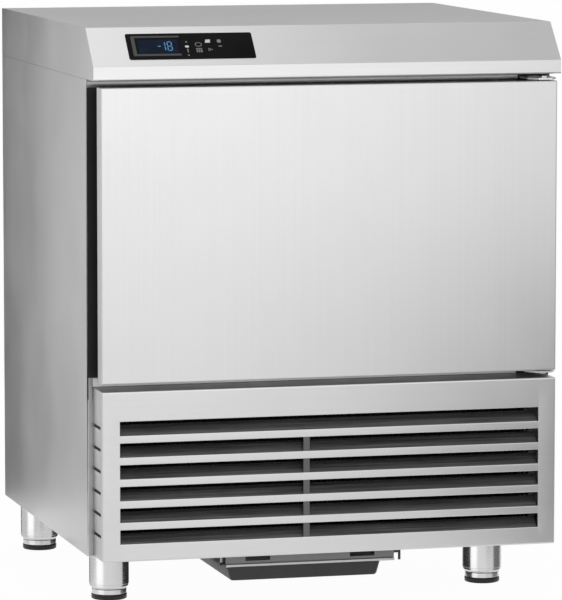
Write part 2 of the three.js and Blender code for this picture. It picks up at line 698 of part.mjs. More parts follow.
place(
  "condenser_fan_motor",
  fanMotor(40, 8, 62, -11, COND_FAN.r + 4, SHROUD_Y1 + GAP - COND_BLADE_Y - COND_BLADE_W),
  "black_paint",
  COND_FAN.x,
  COND_BLADE_Y + COND_BLADE_W,
  COND_FAN.z,
);

const PLATE_TOP = ON_BASE + 26;
const COMP = { x: HALF_W - 160, y: BODY_REAR - 276, r: 84, z0: PLATE_TOP + GAP };
COMP.h = BOX_BOTTOM - 40.4 - COMP.z0;
const DOME = { rise: 4, reach: 0.62 };
place("compressor_shell", join([
  turned(COMP.x, COMP.y, [
    [0, COMP.z0],
    [COMP.r * 0.6, COMP.z0],
    [COMP.r * 0.9, COMP.z0 + 9],
    [COMP.r, COMP.z0 + 26],
    [COMP.r, COMP.z0 + 78],
    [COMP.r + 3, COMP.z0 + 79],
    [COMP.r + 3, COMP.z0 + 86],
    [COMP.r, COMP.z0 + 87],
    [COMP.r, COMP.z0 + COMP.h - 42],
    [COMP.r * 0.9, COMP.z0 + COMP.h - 18],
    [COMP.r * DOME.reach, COMP.z0 + COMP.h - DOME.rise],
    [0, COMP.z0 + COMP.h],
  ], 28),
  block(COMP.x - 30, COMP.x + 30, COMP.y - COMP.r - 22, COMP.y - COMP.r + 20, COMP.z0 + 40, COMP.z0 + 105),
]), "black_paint");
const mounts = [];
for (const sx of [-1, 1]) {
  for (const sy of [-1, 1]) {
    const [x, y] = [COMP.x + sx * COMP.r, COMP.y + sy * (COMP.r - 10)];
    mounts.push(rodZ(x, y, 13, ON_BASE, PLATE_TOP - 3, 14));
    mounts.push(rodZ(x, y, 6, PLATE_TOP - 6, PLATE_TOP + 8, 10));
  }
}
const plateX = COMP.r + 18;
const plateY = COMP.r + 8;
place("compressor_feet_plate", join([
  prismZ(
    roundedRect(COMP.x - plateX, COMP.x + plateX, COMP.y - plateY, COMP.y + plateY, 16, 3),
    PLATE_TOP - 4,
    PLATE_TOP,
  ),
  ...mounts,
]), "black_paint");

const ELEC_SLOTS = ELEC.z0 + 34.7;
place("electrical_box", cut(
  block(ELEC.x0, ELEC.x1, ELEC.y0, ELEC.y1, ELEC.z0, ELEC.z1),
  [
    ...[0, 1, 2, 3].map((i) => {
      const z = ELEC_SLOTS + 14 * i;
      return block(ELEC.x0 + 30, ELEC.x1 - 30, ELEC.y0 - 1, ELEC.y0 + 2, z, z + 6);
    }),
    block(ELEC.x0 - 1, ELEC.x1 + 1, ELEC.y0 + 12, ELEC.y0 + 14, ELEC.z0 + 5, ELEC.z1 + 1),
  ],
), "grey_plastic");

const REC = { x: -HALF_W + 140, y: BODY_REAR - 196, r: 46, z1: BOX_BOTTOM - 57.7 };
place("liquid_receiver", turned(REC.x, REC.y, [
  [0, ON_BASE],
  [REC.r - 6, ON_BASE],
  [REC.r - 6, ON_BASE + 12],
  [REC.r, ON_BASE + 20],
  [REC.r, REC.z1 - 22],
  [REC.r - 8, REC.z1 - 7],
  [REC.r - 22, REC.z1],
  [0, REC.z1],
], 24), "black_paint");

// Refrigerant lines; each ends a small clearance short of what it joins
const condRight = COND.x1 + 3;
const lineTop = COMP.z0 + COMP.h;

// Height at which a pipe of radius r standing off the compressor's middle just clears its dome
function aboveDome(dx, dy, r) {
  return lineTop - (DOME.rise * (Math.hypot(dx, dy) - r)) / (DOME.reach * COMP.r) + GAP + 0.1;
}
place("discharge_pipe", bar([
  [COMP.x - 40, COMP.y, aboveDome(40, 0, 5)],
  [COMP.x - 40, COMP.y, lineTop + 22],
  [condRight + 24, COMP.y, lineTop + 22],
  [condRight + 24, COND.y1 - 12, lineTop + 22],
  [condRight + 24, COND.y1 - 12, COND.z1 - 22],
  [condRight + GAP, COND.y1 - 12, COND.z1 - 22],
], 5, 12, 30), "copper");
place("liquid_pipe", bar([
  [condRight + GAP, COND.y1 - 12, COND.z0 + 16],
  [condRight + 22, COND.y1 - 12, COND.z0 + 16],
  [condRight + 22, REC.y + 70, COND.z0 + 16],
  [REC.x, REC.y + 70, COND.z0 + 40],
  [REC.x, REC.y + REC.r + GAP, COND.z0 + 40],
], 5, 14, 28), "copper");
const coilSide = EVAP_COIL.x + 3;
place("suction_pipe", bar([
  [COMP.x + 30, COMP.y + 46, aboveDome(30, 46, SUCTION_R)],
  [COMP.x + 30, COMP.y + 46, lineTop + 14],
  [LINE_X, LINE_Y, lineTop + 14],
  [LINE_X, LINE_Y, EVAP_COIL.z0 + 14],
  [coilSide + GAP, LINE_Y, EVAP_COIL.z0 + 14],
], SUCTION_R, 12, 28), "copper");
place("liquid_feed_pipe", bar([
  [REC.x + 12, REC.y, REC.z1 + GAP],
  [REC.x + 12, REC.y, REC.z1 + 26],
  [FEED_X, LINE_Y, REC.z1 + 26],
  [FEED_X, LINE_Y, EVAP_COIL.z0 + 9],
  [-coilSide - GAP, LINE_Y, EVAP_COIL.z0 + 9],
], FEED_R, 10, 30), "copper");

// ---------------------------------------------------------------- louvred front panel
const SLOTS = 6;
const SLOT_PITCH = 33.8;
const SLOT_HEIGHT = 21.6;
const SLOT_X = FACE_X - 28;
const SLOT_FIRST = BODY_BOTTOM + 27.6;
const BLADE_RISE = 15;
const BLADE_BACK = 17;
const faceBack = FRONT + SHEET;
const panelRear = BODY_FRONT - GAP;
const slotCuts = [];
const slitCuts = [];
const blades = [];
for (let i = 0; i < SLOTS; i += 1) {
  const z = SLOT_FIRST + SLOT_PITCH * i;
  slotCuts.push(block(-SLOT_X, SLOT_X, FRONT - 1, faceBack + 1, z, z + SLOT_HEIGHT));
  const slitZ = z + SLOT_HEIGHT / 2;
  for (const side of [-1, 1]) {
    const xs = [side * (FACE_X + 1), side * (FACE_X - SHEET - 1)].sort((p, q) => p - q);
    slitCuts.push(block(xs[0], xs[1], FRONT + 11, panelRear + 1, slitZ - 1.5, slitZ + 1.5));
  }
  blades.push(prismX(strip([
    [FRONT + SHEET + BLADE_BACK, z + BLADE_RISE],
    [FRONT + SHEET + 2.5, z + 1.2],
    [FRONT + SHEET / 2, z - SHEET],
  ], SHEET), -SLOT_X + 1, SLOT_X - 1));
}
const STRIP_X = -40;
const STRIP_HALF = 5;

// Block as wide as the door, less an inset, with its four front edges rounded to the bend radius
function facedBlock(inset, front, back, z0, z1) {
  const [x, y, r] = [FACE_X - inset, front + inset, BEND - inset];
  const [bottom, top] = [z0 + inset, z1 - inset];
  const plan = filleted([[-x, back], [-x, y], [x, y], [x, back]], [0, r, r, 0], 3);
  const side = filleted([[back, bottom], [back, top], [y, top], [y, bottom]], [0, 0, r, r], 3);
  return prismZ(plan, bottom, top).intersect(prismX(side, -x, x));
}

// Folded pan, open at the back
function pan(front, back, z0, z1) {
  return cut(facedBlock(0, front, back, z0, z1), [facedBlock(SHEET, front, back + 1, z0, z1)]);
}
const panelShell = pan(FRONT, panelRear, BODY_BOTTOM, GRILLE_TOP);
const stripRoom = block(
  STRIP_X - STRIP_HALF - GAP,
  STRIP_X + STRIP_HALF + GAP,
  faceBack,
  faceBack + 2.1 + GAP,
  BODY_BOTTOM + 4,
  SLOT_FIRST + SLOT_PITCH * (SLOTS - 1) - 2,
);
place("front_grille_panel", cut(
  join([cut(panelShell, [...slotCuts, ...slitCuts]), ...blades]),
  [stripRoom],
), "stainless");
place("grille_tie_strip", block(
  STRIP_X - STRIP_HALF,
  STRIP_X + STRIP_HALF,
  faceBack + GAP,
  faceBack + 2.1,
  BODY_BOTTOM + 6,
  SLOT_FIRST + SLOT_PITCH * (SLOTS - 1) - 4,
), "stainless");

// ---------------------------------------------------------------- legs
const LEG_R = 31.5;
const LEG_TOP = BASE_Z0 - GAP;
const FOOT_H = 17;
const FRONT_LEG_X = HALF_W - 65;
const REAR_LEG_X = HALF_W - 57;
const LEG_SIDES = 20;
const LEGS = [
  ["front_left", -FRONT_LEG_X, BODY_FRONT + 140],
  ["front_right", FRONT_LEG_X, BODY_FRONT + 140],
  ["rear_left", -REAR_LEG_X, REAR - 33],
  ["rear_right", REAR_LEG_X, REAR - 33],
];
const STEM_R = 22;
const STEM_TOP = LEG_TOP - 29.2;
for (const [where, x, y] of LEGS) {
  place(`leg_sleeve_${where}`, turned(x, y, [
    [0, STEM_TOP + 6],
    [STEM_R, STEM_TOP + 6],
    [STEM_R, FOOT_H],
    [LEG_R - 3, FOOT_H],
    [LEG_R, FOOT_H + 3],
    [LEG_R, LEG_TOP],
    [0, LEG_TOP],
  ], LEG_SIDES), "stainless");
  place(`foot_${where}`, turned(x, y, [
    [0, 0],
    [LEG_R - 5.5, 0],
    [LEG_R - 3.1, 2.5],
    [LEG_R - 3.1, FOOT_H - GAP],
    [STEM_R - GAP, FOOT_H - GAP],
    [STEM_R - GAP, STEM_TOP],
    [0, STEM_TOP],
  ], LEG_SIDES), "black_plastic");
}

// ---------------------------------------------------------------- door
const PAN_BACK = FRONT + 27;
const SEAL_PLANE = BODY_FRONT - GAP;
const INNER_BACK = BODY_FRONT - 13.8;
const PIVOT = { x: FACE_X - 19, y: FRONT + 16 };
const BUSH_R = 8.7;
const BUSH_H = 24;
const PIN_R = 5;
const pocket = (grow, z0, z1) => rodZ(PIVOT.x, PIVOT.y, BUSH_R + grow, z0, z1, 24);
place("door_outer_pan", cut(pan(FRONT, PAN_BACK, DOOR_BOTTOM, DOOR_TOP), [
  pocket(GAP, DOOR_TOP - 5, DOOR_TOP + 5),
  pocket(GAP, DOOR_BOTTOM - 5, DOOR_BOTTOM + 5),
]), "stainless");

const INNER_PAN_X = HALF_W - 30;
const innerZ0 = DOOR_BOTTOM + 2;
const innerZ1 = DOOR_TOP - 2;
const rim = SHEET + GAP;
place("door_core", cut(join([
  facedBlock(rim, FRONT, PAN_BACK, DOOR_BOTTOM, DOOR_TOP),
  block(-INNER_PAN_X + rim, INNER_PAN_X - rim, PAN_BACK - 1, INNER_BACK - rim, innerZ0 + rim, innerZ1 - rim),
]), [
  pocket(GAP, DOOR_TOP - BUSH_H - GAP, DOOR_TOP + 5),
  pocket(GAP, DOOR_BOTTOM - 5, DOOR_BOTTOM + BUSH_H + GAP),
]), "foam");
const innerFront = PAN_BACK + GAP;
place("door_inner_pan", cut(
  block(-INNER_PAN_X, INNER_PAN_X, innerFront, INNER_BACK, innerZ0, innerZ1),
  [block(
    -INNER_PAN_X + SHEET,
    INNER_PAN_X - SHEET,
    innerFront - 1,
    INNER_BACK - SHEET,
    innerZ0 + SHEET,
    innerZ1 - SHEET,
  )],
), "stainless");

const GASKET_X = INNER_PAN_X - 2;
const gasketDepth = SEAL_PLANE - INNER_BACK - GAP;
place("door_gasket", frameSweep([
  [0, 0],
  [24, 0],
  [24, 2.5],
  [16, 2.5],
  [16, 6],
  [22, 6],
  [22, gasketDepth],
  [2, gasketDepth],
  [2, 6],
  [8, 6],
  [8, 2.5],
  [0, 2.5],
], GASKET_X, DOOR_BOTTOM + 5.5, DOOR_TOP - 5.5, INNER_BACK + GAP), "rubber");

const gripOut = -FACE_X + GAP;
const gripIn = -INNER_PAN_X - GAP;
const GRIP_T = 2.7;
place("door_grip_profile", prismZ([
  [gripOut, innerFront],
  [gripIn, innerFront],
  [gripIn, INNER_BACK],
  [gripIn - 10, INNER_BACK],
  [gripIn - 10, INNER_BACK - GRIP_T],
  [gripIn - GRIP_T, INNER_BACK - GRIP_T],
  [gripIn - GRIP_T, innerFront + GRIP_T],
  [gripOut, innerFront + GRIP_T],
], DOOR_BOTTOM + 0.5, DOOR_TOP - 0.5), "black_plastic");
place("door_hinge_profile", prismZ([
  [INNER_PAN_X + GAP, innerFront],
  [FACE_X - GAP, innerFront],
  [FACE_X - GAP, INNER_BACK - 8],
  [INNER_PAN_X + 12, INNER_BACK],
  [INNER_PAN_X + GAP, INNER_BACK],
], DOOR_BOTTOM + 0.5, DOOR_TOP - 0.5), "black_plastic");

const PLATE_T = 3;
const TOP_PLATE = DOOR_TOP + 1.6;
const BOTTOM_PLATE = DOOR_BOTTOM - 1.6;
const bush = (z0, z1) => cut(
  rodZ(PIVOT.x, PIVOT.y, BUSH_R, z0, z1, 24),
  [rodZ(PIVOT.x, PIVOT.y, PIN_R + GAP, z0 - 1, z1 + 1, 24)],
);
place("door_bush_top", bush(DOOR_TOP - BUSH_H, TOP_PLATE - GAP), "black_plastic");
place("door_bush_bottom", bush(BOTTOM_PLATE + GAP, DOOR_BOTTOM + BUSH_H), "black_plastic");

// Hinge bracket: plate over or under the door, leg down or up the frame, pin into the bush
function hingeBracket(plateZ, dir) {
  const far = plateZ + dir * PLATE_T;
  const [p0, p1] = [Math.min(plateZ, far), Math.max(plateZ, far)];
  const legEnd = plateZ - dir * 46;
  const [l0, l1] = [Math.min(far, legEnd), Math.max(far, legEnd)];
  const pinEnd = plateZ - dir * (BUSH_H - 2);
  const [n0, n1] = [Math.min(far - dir, pinEnd), Math.max(far - dir, pinEnd)];
  return cut(join([
    prismZ([
      [PIVOT.x - 24, SEAL_PLANE],
      [PIVOT.x - 24, PIVOT.y + 4],
      [PIVOT.x - 10, PIVOT.y - 11],
      [PIVOT.x + 12, PIVOT.y - 11],
      [PIVOT.x + 22, PIVOT.y + 2],
      [PIVOT.x + 22, SEAL_PLANE],
    ].reverse(), p0, p1),
    block(PIVOT.x, PIVOT.x + 24, SEAL_PLANE - PLATE_T, SEAL_PLANE, l0, l1),
    rodZ(PIVOT.x, PIVOT.y, PIN_R, n0, n1, 24),
  ]), [block(PIVOT.x - 14, PIVOT.x + 8, PIVOT.y + 18, SEAL_PLANE - 10, p0 - 1, p1 + 1)]);
}
place("hinge_bracket_top", hingeBracket(TOP_PLATE, 1), "stainless");
place("hinge_bracket_bottom", hingeBracket(BOTTOM_PLATE, -1), "stainless");

// ---------------------------------------------------------------- drip tray
const TRAY = {
  x0: -156,
  x1: 97,
  y0: BODY_FRONT - 12,
  y1: BODY_FRONT + 288,
  z0: BODY_BOTTOM - 47,
  rim0: BODY_BOTTOM - 22,
  rim1: BODY_BOTTOM - 19.5,
};
const TRAY_T = 2;
const TAPER = 8;
const RIM = { x0: TRAY.x0 - 5, x1: TRAY.x1 + 15 };
const tub = (t, y0, y1, top) => prismY([
  [TRAY.x0 + TAPER + t, TRAY.z0 + t],
  [TRAY.x1 - TAPER - t, TRAY.z0 + t],
  [TRAY.x1 - t, top],
  [TRAY.x0 + t, top],
], y0, y1);
place("drip_tray", join([
  block(RIM.x0, RIM.x1, TRAY.y0, TRAY.y1, TRAY.rim0, TRAY.rim1),
  tub(0, TRAY.y0, TRAY.y1, TRAY.rim1),
]).subtract(tub(TRAY_T, TRAY.y0 + TRAY_T, TRAY.y1 - TRAY_T, TRAY.rim1 + 4)), "black_plastic");
const RAIL = { x0: TRAY.x0 - 1, x1: TRAY.x1 + 20, z0: BODY_BOTTOM - 24, z1: BODY_BOTTOM - 9, t: 2 };
const NOTCH = { w: 40, h: 7, inset: 32 };
place("drip_tray_front_rail", cut(
  block(RAIL.x0, RAIL.x1, TRAY.y0 - GAP - RAIL.t, TRAY.y0 - GAP, RAIL.z0, RAIL.z1),
  [RAIL.x0 + NOTCH.inset, RAIL.x1 - NOTCH.inset - NOTCH.w].map((left) => block(
    left,
    left + NOTCH.w,
    TRAY.y0 - GAP - RAIL.t - 1,
    TRAY.y0 + 1,
    RAIL.z1 - NOTCH.h,
    RAIL.z1 + 1,
  )),
), "galvanised");
// Runner: lip under the rim, web beside it, flange under the base; the right one has a tab in front
const RUNNER_T = 1.5;
const RUNNER_FLANGE = 22;
const LIP_W = 8;
const runnerFoot = TRAY.rim0 - GAP - RUNNER_T;
const runnerHead = BASE_Z0 - GAP;
const runnerFront = BODY_FRONT + 1;
const runner = (side, edge, lip) => {
  const web = edge + side * (GAP + RUNNER_T);
  return prismY(strip([
    [lip, runnerFoot],
    [web, runnerFoot],
    [web, runnerHead],
    [web - side * RUNNER_FLANGE, runnerHead],
  ], side * RUNNER_T), runnerFront, TRAY.y1);
};
const TAB = { x1: RIM.x1 + 21.5, leg: 4, bar: runnerHead - 11, z0: runnerHead - 18 };
place("drip_tray_runner_left", runner(-1, RIM.x0, TRAY.x0 - 2), "black_paint");
place("drip_tray_runner_right", join([
  runner(1, RIM.x1, RIM.x1 - LIP_W),
  prismY([
    [RIM.x1 + GAP + 0.5, TAB.bar],
    [TAB.x1 - TAB.leg, TAB.bar],
    [TAB.x1 - TAB.leg, TAB.z0],
    [TAB.x1, TAB.z0],
    [TAB.x1, runnerHead],
    [RIM.x1 + GAP + 0.5, runnerHead],
  ], runnerFront, runnerFront + RUNNER_T),
]), "black_paint");

export default group;
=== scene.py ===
"""Visual model of an under-counter blast chiller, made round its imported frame.

Metres, +Z up, front towards -Y, door hinged at +X, origin on the floor under the middle.
"""

import json
import math

import bmesh
import bpy
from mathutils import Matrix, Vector


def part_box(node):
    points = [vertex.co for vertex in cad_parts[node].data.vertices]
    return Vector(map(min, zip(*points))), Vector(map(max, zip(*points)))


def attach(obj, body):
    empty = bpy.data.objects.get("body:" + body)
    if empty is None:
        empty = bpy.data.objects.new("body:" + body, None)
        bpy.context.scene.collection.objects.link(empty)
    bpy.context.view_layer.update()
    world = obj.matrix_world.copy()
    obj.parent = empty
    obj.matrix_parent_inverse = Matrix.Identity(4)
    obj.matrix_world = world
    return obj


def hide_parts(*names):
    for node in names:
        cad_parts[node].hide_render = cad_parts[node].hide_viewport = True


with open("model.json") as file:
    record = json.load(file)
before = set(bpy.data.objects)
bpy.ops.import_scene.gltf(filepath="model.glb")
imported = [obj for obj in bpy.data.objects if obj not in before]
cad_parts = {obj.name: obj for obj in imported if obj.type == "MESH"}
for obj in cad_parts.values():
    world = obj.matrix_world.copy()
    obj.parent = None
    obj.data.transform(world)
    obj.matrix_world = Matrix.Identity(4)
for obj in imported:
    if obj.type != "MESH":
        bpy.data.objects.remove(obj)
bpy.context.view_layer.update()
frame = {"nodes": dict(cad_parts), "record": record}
NODES = frame["nodes"]
SLOT_OF = {part["node"]: part["material_slot"] for part in frame["record"]["subparts"]}
MM = 0.001
BLACK = (0, 0, 0, 1)
WHITE = (1, 1, 1, 1)


# -------------------- materials
def set_inputs(node, **values):
    """Values of the node's inputs, each named with _ for a space."""
    for key, value in values.items():
        node.inputs[key.replace("_", " ")].default_value = value


class Finish:
    """A Principled material with short calls for the patterns that feed it."""

    def __init__(self, name, colour, roughness, metallic=0.0):
        self.material = bpy.data.materials.new(name)
        self.material.use_nodes = True
        self.tree = self.material.node_tree
        self.bsdf = self.tree.nodes["Principled BSDF"]
        set_inputs(self.bsdf, Base_Color=(*colour, 1), Roughness=roughness, Metallic=metallic)
        self.colour = colour
        self.place = self.node("ShaderNodeTexCoord").outputs["Object"]
        self.bumped = None

    def node(self, kind, **values):
        made = self.tree.nodes.new(kind)
        for key, value in values.items():
            setattr(made, key, value)
        return made

    def link(self, source, target):
        self.tree.links.new(source, target)

    def scaled(self, scale):
        """Object coordinates stretched by a scale on each axis, in cycles per metre."""
        mapping = self.node("ShaderNodeMapping", vector_type="POINT")
        set_inputs(mapping, Scale=scale if hasattr(scale, "__len__") else (scale,) * 3)
        self.link(self.place, mapping.inputs["Vector"])
        return mapping.outputs["Vector"]

    def noise(self, scale, detail=2.0, soften=0.5):
        made = self.node("ShaderNodeTexNoise")
        set_inputs(made, Scale=1.0, Detail=detail, Roughness=soften)
        self.link(self.scaled(scale), made.inputs["Vector"])
        return made.outputs["Fac"]

    def cells(self, scale):
        made = self.node("ShaderNodeTexVoronoi", feature="F1")
        set_inputs(made, Scale=1.0)
        self.link(self.scaled(scale), made.inputs["Vector"])
        return self.grey(made.outputs["Color"])

    def grey(self, colour):
        made = self.node("ShaderNodeRGBToBW")
        self.link(colour, made.inputs["Color"])
        return made.outputs["Val"]

    def spread(self, value, low, high, first=0.3, last=0.7):
        """The value's middle range, from first to last, carried to low and high."""
        made = self.node("ShaderNodeMapRange", clamp=True)
        self.link(value, made.inputs["Value"])
        set_inputs(made, From_Min=first, From_Max=last, To_Min=low, To_Max=high)
        return made.outputs["Result"]

    def combine(self, operation, first, second):
        made = self.node("ShaderNodeMath", operation=operation)
        self.link(first, made.inputs[0])
        self.link(second, made.inputs[1])
        return made.outputs["Value"]

    def times(self, first, second):
        return self.combine("MULTIPLY", first, second)

    def plus(self, first, second):
        return self.combine("ADD", first, second)

    def tint(self, value):
        """Base colour: the written colour multiplied by a value near 1."""
        mix = self.node("ShaderNodeMix", data_type="RGBA", clamp_factor=False)
        set_inputs(mix, A=BLACK, B=(*self.colour, 1))
        self.link(value, mix.inputs["Factor"])
        self.link(mix.outputs["Result"], self.bsdf.inputs["Base Color"])

    def rough(self, value):
        self.link(value, self.bsdf.inputs["Roughness"])

    def bump(self, value, height, strength=1.0):
        """Raises the surface by up to the height, in metres, on top of any bump before."""
        made = self.node("ShaderNodeBump")
        set_inputs(made, Distance=height, Strength=strength)
        self.link(value, made.inputs["Height"])
        if self.bumped:
            self.link(self.bumped, made.inputs["Normal"])
        self.bumped = made.outputs["Normal"]
        self.link(self.bumped, self.bsdf.inputs["Normal"])

    def set(self, **values):
        set_inputs(self.bsdf, **values)


WHOLE = (0.0, 1.0)


def along(axis, length_rate, cross_rate):
    """Noise scale that runs slowly along one axis and fast across it."""
    return tuple(length_rate if i == "XYZ".index(axis) else cross_rate for i in range(3))


def brushed_steel(name, axis, colour=(0.66, 0.66, 0.66), roughness=0.36):
    """Stainless sheet ground along one axis: fine lines, wider streaks and faint handling marks."""
    made = Finish(name, colour, roughness, metallic=1.0)
    lines = made.noise(along(axis, 9, 1500), detail=3, soften=0.6)
    streaks = made.noise(along(axis, 1.6, 210), detail=2)
    marks = made.noise(5.5, detail=3)
    made.tint(made.times(made.spread(streaks, 0.99, 1.01), made.spread(marks, 0.985, 1.015)))
    grain = made.spread(lines, roughness - 0.035, roughness + 0.035)
    made.rough(made.plus(grain, made.spread(marks, -0.015, 0.03)))
    made.bump(made.noise(1.7, detail=1), 0.0016, 0.5)
    made.bump(lines, 0.00006, 0.35)
    return made.material


def zinc_sheet(name="zinc_coated_sheet", colour=(0.47, 0.48, 0.49)):
    """Hot-dipped sheet with its spangle."""
    made = Finish(name, colour, 0.45, metallic=0.9)
    spangle = made.cells(95)
    cloud = made.noise(7)
    made.tint(made.times(made.spread(spangle, 0.9, 1.08, *WHOLE), made.spread(cloud, 0.96, 1.03)))
    made.rough(made.spread(spangle, 0.36, 0.52, *WHOLE))
    made.bump(made.noise(700), 0.00004, 0.4)
    return made.material


def moulded_plastic(name, colour, roughness, shine=0.3):
    """Moulded plastic with a fine spark-eroded texture."""
    made = Finish(name, colour, roughness)
    made.set(Specular_IOR_Level=shine)
    pores = made.noise(1900, detail=2)
    cloud = made.noise(14, detail=2)
    made.tint(made.spread(cloud, 0.9, 1.1))
    grain = made.spread(pores, roughness - 0.06, roughness + 0.06)
    made.rough(made.plus(grain, made.spread(cloud, -0.02, 0.02)))
    made.bump(pores, 0.00005, 0.35)
    return made.material


def seal_rubber():
    """Dull black rubber with dust in its pores."""
    made = Finish("seal_rubber", (0.035, 0.035, 0.037), 0.72)
    dust = made.noise(60, detail=4)
    made.tint(made.spread(dust, 0.8, 1.35))
    made.rough(made.spread(dust, 0.66, 0.8))
    made.bump(made.noise(900), 0.00005, 0.3)
    made.set(Specular_IOR_Level=0.35)
    return made.material


def foam_core():
    """Foamed insulation, seen at its cut edges: open pores and a slow change of tone."""
    made = Finish("foam_core", (0.72, 0.60, 0.33), 0.9)
    pores = made.noise(520, detail=5, soften=0.7)
    cloud = made.noise(9)
    made.tint(made.times(made.spread(pores, 0.82, 1.06), made.spread(cloud, 0.93, 1.04)))
    made.bump(pores, 0.0005, 0.6)
    return made.material


def black_glass():
    """Glossy control panel with a faint haze; it mirrors little, as in the photograph."""
    made = Finish("black_glass", (0.004, 0.004, 0.005), 0.07)
    haze = made.noise(22, detail=3)
    made.tint(made.spread(haze, 0.8, 1.2))
    made.rough(made.spread(haze, 0.05, 0.11))
    made.set(Specular_IOR_Level=0.05)
    return made.material


def coil_fins():
    """Pack of thin upright fins, slightly wavy."""
    made = Finish("coil_fins", (0.66, 0.67, 0.69), 0.38, metallic=1.0)
    wave = made.noise(along("Z", 30, 160))
    cloud = made.noise(18)
    made.tint(made.times(made.spread(wave, 0.86, 1.05), made.spread(cloud, 0.9, 1.04)))
    made.rough(made.spread(wave, 0.3, 0.46))
    made.bump(wave, 0.0002, 0.4)
    return made.material


def copper_tube():
    """Bare copper, darker and duller where it is stained."""
    made = Finish("copper_tube", (0.60, 0.27, 0.15), 0.3, metallic=1.0)
    stain = made.noise(38, detail=4, soften=0.6)
    made.tint(made.spread(stain, 0.72, 1.08))
    made.rough(made.spread(stain, 0.42, 0.24))
    made.bump(made.noise(400), 0.00005, 0.3)
    return made.material


def black_enamel():
    """Black paint with orange peel and a little dust."""
    made = Finish("black_enamel", (0.018, 0.018, 0.019), 0.32)
    peel = made.noise(330, detail=2)
    dust = made.noise(24, detail=4)
    made.tint(made.spread(dust, 0.85, 1.5))
    made.rough(made.spread(dust, 0.26, 0.42))
    made.bump(peel, 0.00008, 0.3)
    return made.material


def polished_steel():
    """Tube polished round its axis, with faint turning lines."""
    made = Finish("polished_steel", (0.66, 0.66, 0.66), 0.24, metallic=1.0)
    rings = made.noise((4, 4, 900), detail=3, soften=0.6)
    marks = made.noise(30, detail=3)
    made.tint(made.times(made.spread(rings, 0.97, 1.02), made.spread(marks, 0.96, 1.02)))
    made.rough(made.plus(made.spread(rings, 0.19, 0.28), made.spread(marks, -0.01, 0.04)))
    made.bump(rings, 0.00002, 0.12)
    return made.material


def blade_steel_painted_shade():
    """Louvre sheet, its colour darkened as painted shade inside the slots; duller than the ground faces,
    with long drawing lines.
    """
    made = Finish("blade_steel_painted_shade", (0.16, 0.16, 0.16), 0.5, metallic=0.9)
    lines = made.noise((5, 300, 420), detail=3, soften=0.65)
    cloud = made.noise(12, detail=3)
    made.tint(made.times(made.spread(lines, 0.62, 1.4), made.spread(cloud, 0.9, 1.1)))
    made.rough(made.spread(lines, 0.42, 0.6))
    made.bump(lines, 0.00012, 0.5)
    return made.material


def glowing(name, colour, strength, cells=1400):
    """Backlit segment or lamp, broken up by a fine grid."""
    made = Finish(name, colour, 0.4)
    grid = made.cells(cells)
    made.tint(made.spread(grid, 0.8, 1.1, *WHOLE))
    made.set(Emission_Color=(*colour, 1))
    glow = made.spread(grid, 0.85 * strength, 1.15 * strength, *WHOLE)
    made.link(glow, made.bsdf.inputs["Emission Strength"])
    return made.material


def printed_ink(name, colour):
    """Screen-printed mark under gloss glass."""
    made = Finish(name, colour, 0.3)
    made.tint(made.spread(made.noise(900, detail=3), 0.8, 1.1))
    return made.material


STEEL = {axis: brushed_steel(f"stainless_steel_{axis.lower()}", axis) for axis in "XYZ"}
MATERIALS = {
    "stainless_steel": STEEL["Z"],
    "zinc_coated_sheet": zinc_sheet(),
    "black_plastic": moulded_plastic("black_plastic", (0.018, 0.018, 0.02), 0.42),
    "grey_plastic": moulded_plastic("grey_plastic", (0.16, 0.165, 0.17), 0.5),
    "seal_rubber": seal_rubber(),
    "foam_core": foam_core(),
    "black_glass": black_glass(),
    "coil_fins": coil_fins(),
    "copper_tube": copper_tube(),
    "black_enamel": black_enamel(),
}
GRAIN = {
    "hood_cover": "X",
    "front_grille_panel": "X",
    "tray_rack_left": "Y",
    "tray_rack_right": "Y",
    "chamber_liner": "Y",
}


# -------------------- frame nodes that stay
STEEL_SLOT = "stainless_steel"
PLASTIC_SLOT = "black_plastic"
GLASS_SLOT = "black_glass"
STEEL_EDGE = 0.35
OTHER_EDGE = 0.5
NODE_ANGLE = 40
FLAT_ANGLE = 1


def wear(obj, material):
    obj.data.materials.clear()
    obj.data.materials.append(material)


def add_bevel(obj, name, width, angle, segments=2):
    """Bevel, in millimetres, of the edges that turn by more than the angle, in degrees."""
    bevel = obj.modifiers.new(name, "BEVEL")
    bevel.width = width * MM
    bevel.segments = segments
    bevel.limit_method = "ANGLE"
    bevel.angle_limit = math.radians(angle)
    return bevel


def dress_nodes():
    """Each CAD node gets its material, whole flat faces and slightly rounded edges."""
    for name, obj in NODES.items():
        slot = SLOT_OF[name]
        wear(obj, STEEL[GRAIN[name]] if name in GRAIN else MATERIALS[slot])
        flat = obj.modifiers.new("merge_flat_faces", "DECIMATE")
        flat.decimate_type = "DISSOLVE"
        flat.angle_limit = math.radians(FLAT_ANGLE)
        width = STEEL_EDGE if slot == STEEL_SLOT else OTHER_EDGE
        add_bevel(obj, "edge_radius", width, NODE_ANGLE).harden_normals = True
        obj.data.polygons.foreach_set("use_smooth", [True] * len(obj.data.polygons))


dress_nodes()


# -------------------- mesh making, in millimetres
def full_turn(count):
    """Equal steps of one turn, in radians."""
    return [2 * math.pi * k / count for k in range(count)]


def add_object(name, data):
    obj = bpy.data.objects.new(name, data)
    bpy.context.scene.collection.objects.link(obj)
    return obj


def new_object(name, verts, faces, material):
    """Smooth-shaded object whose faces look outwards."""
    mesh = bpy.data.meshes.new(name)
    mesh.from_pydata([Vector(v) * MM for v in verts], [], faces)
    bm = bmesh.new()
    bm.from_mesh(mesh)
    bmesh.ops.recalc_face_normals(bm, faces=bm.faces)
    bm.to_mesh(mesh)
    bm.free()
    mesh.materials.append(material)
    mesh.polygons.foreach_set("use_smooth", [True] * len(mesh.polygons))
    return add_object(name, mesh)


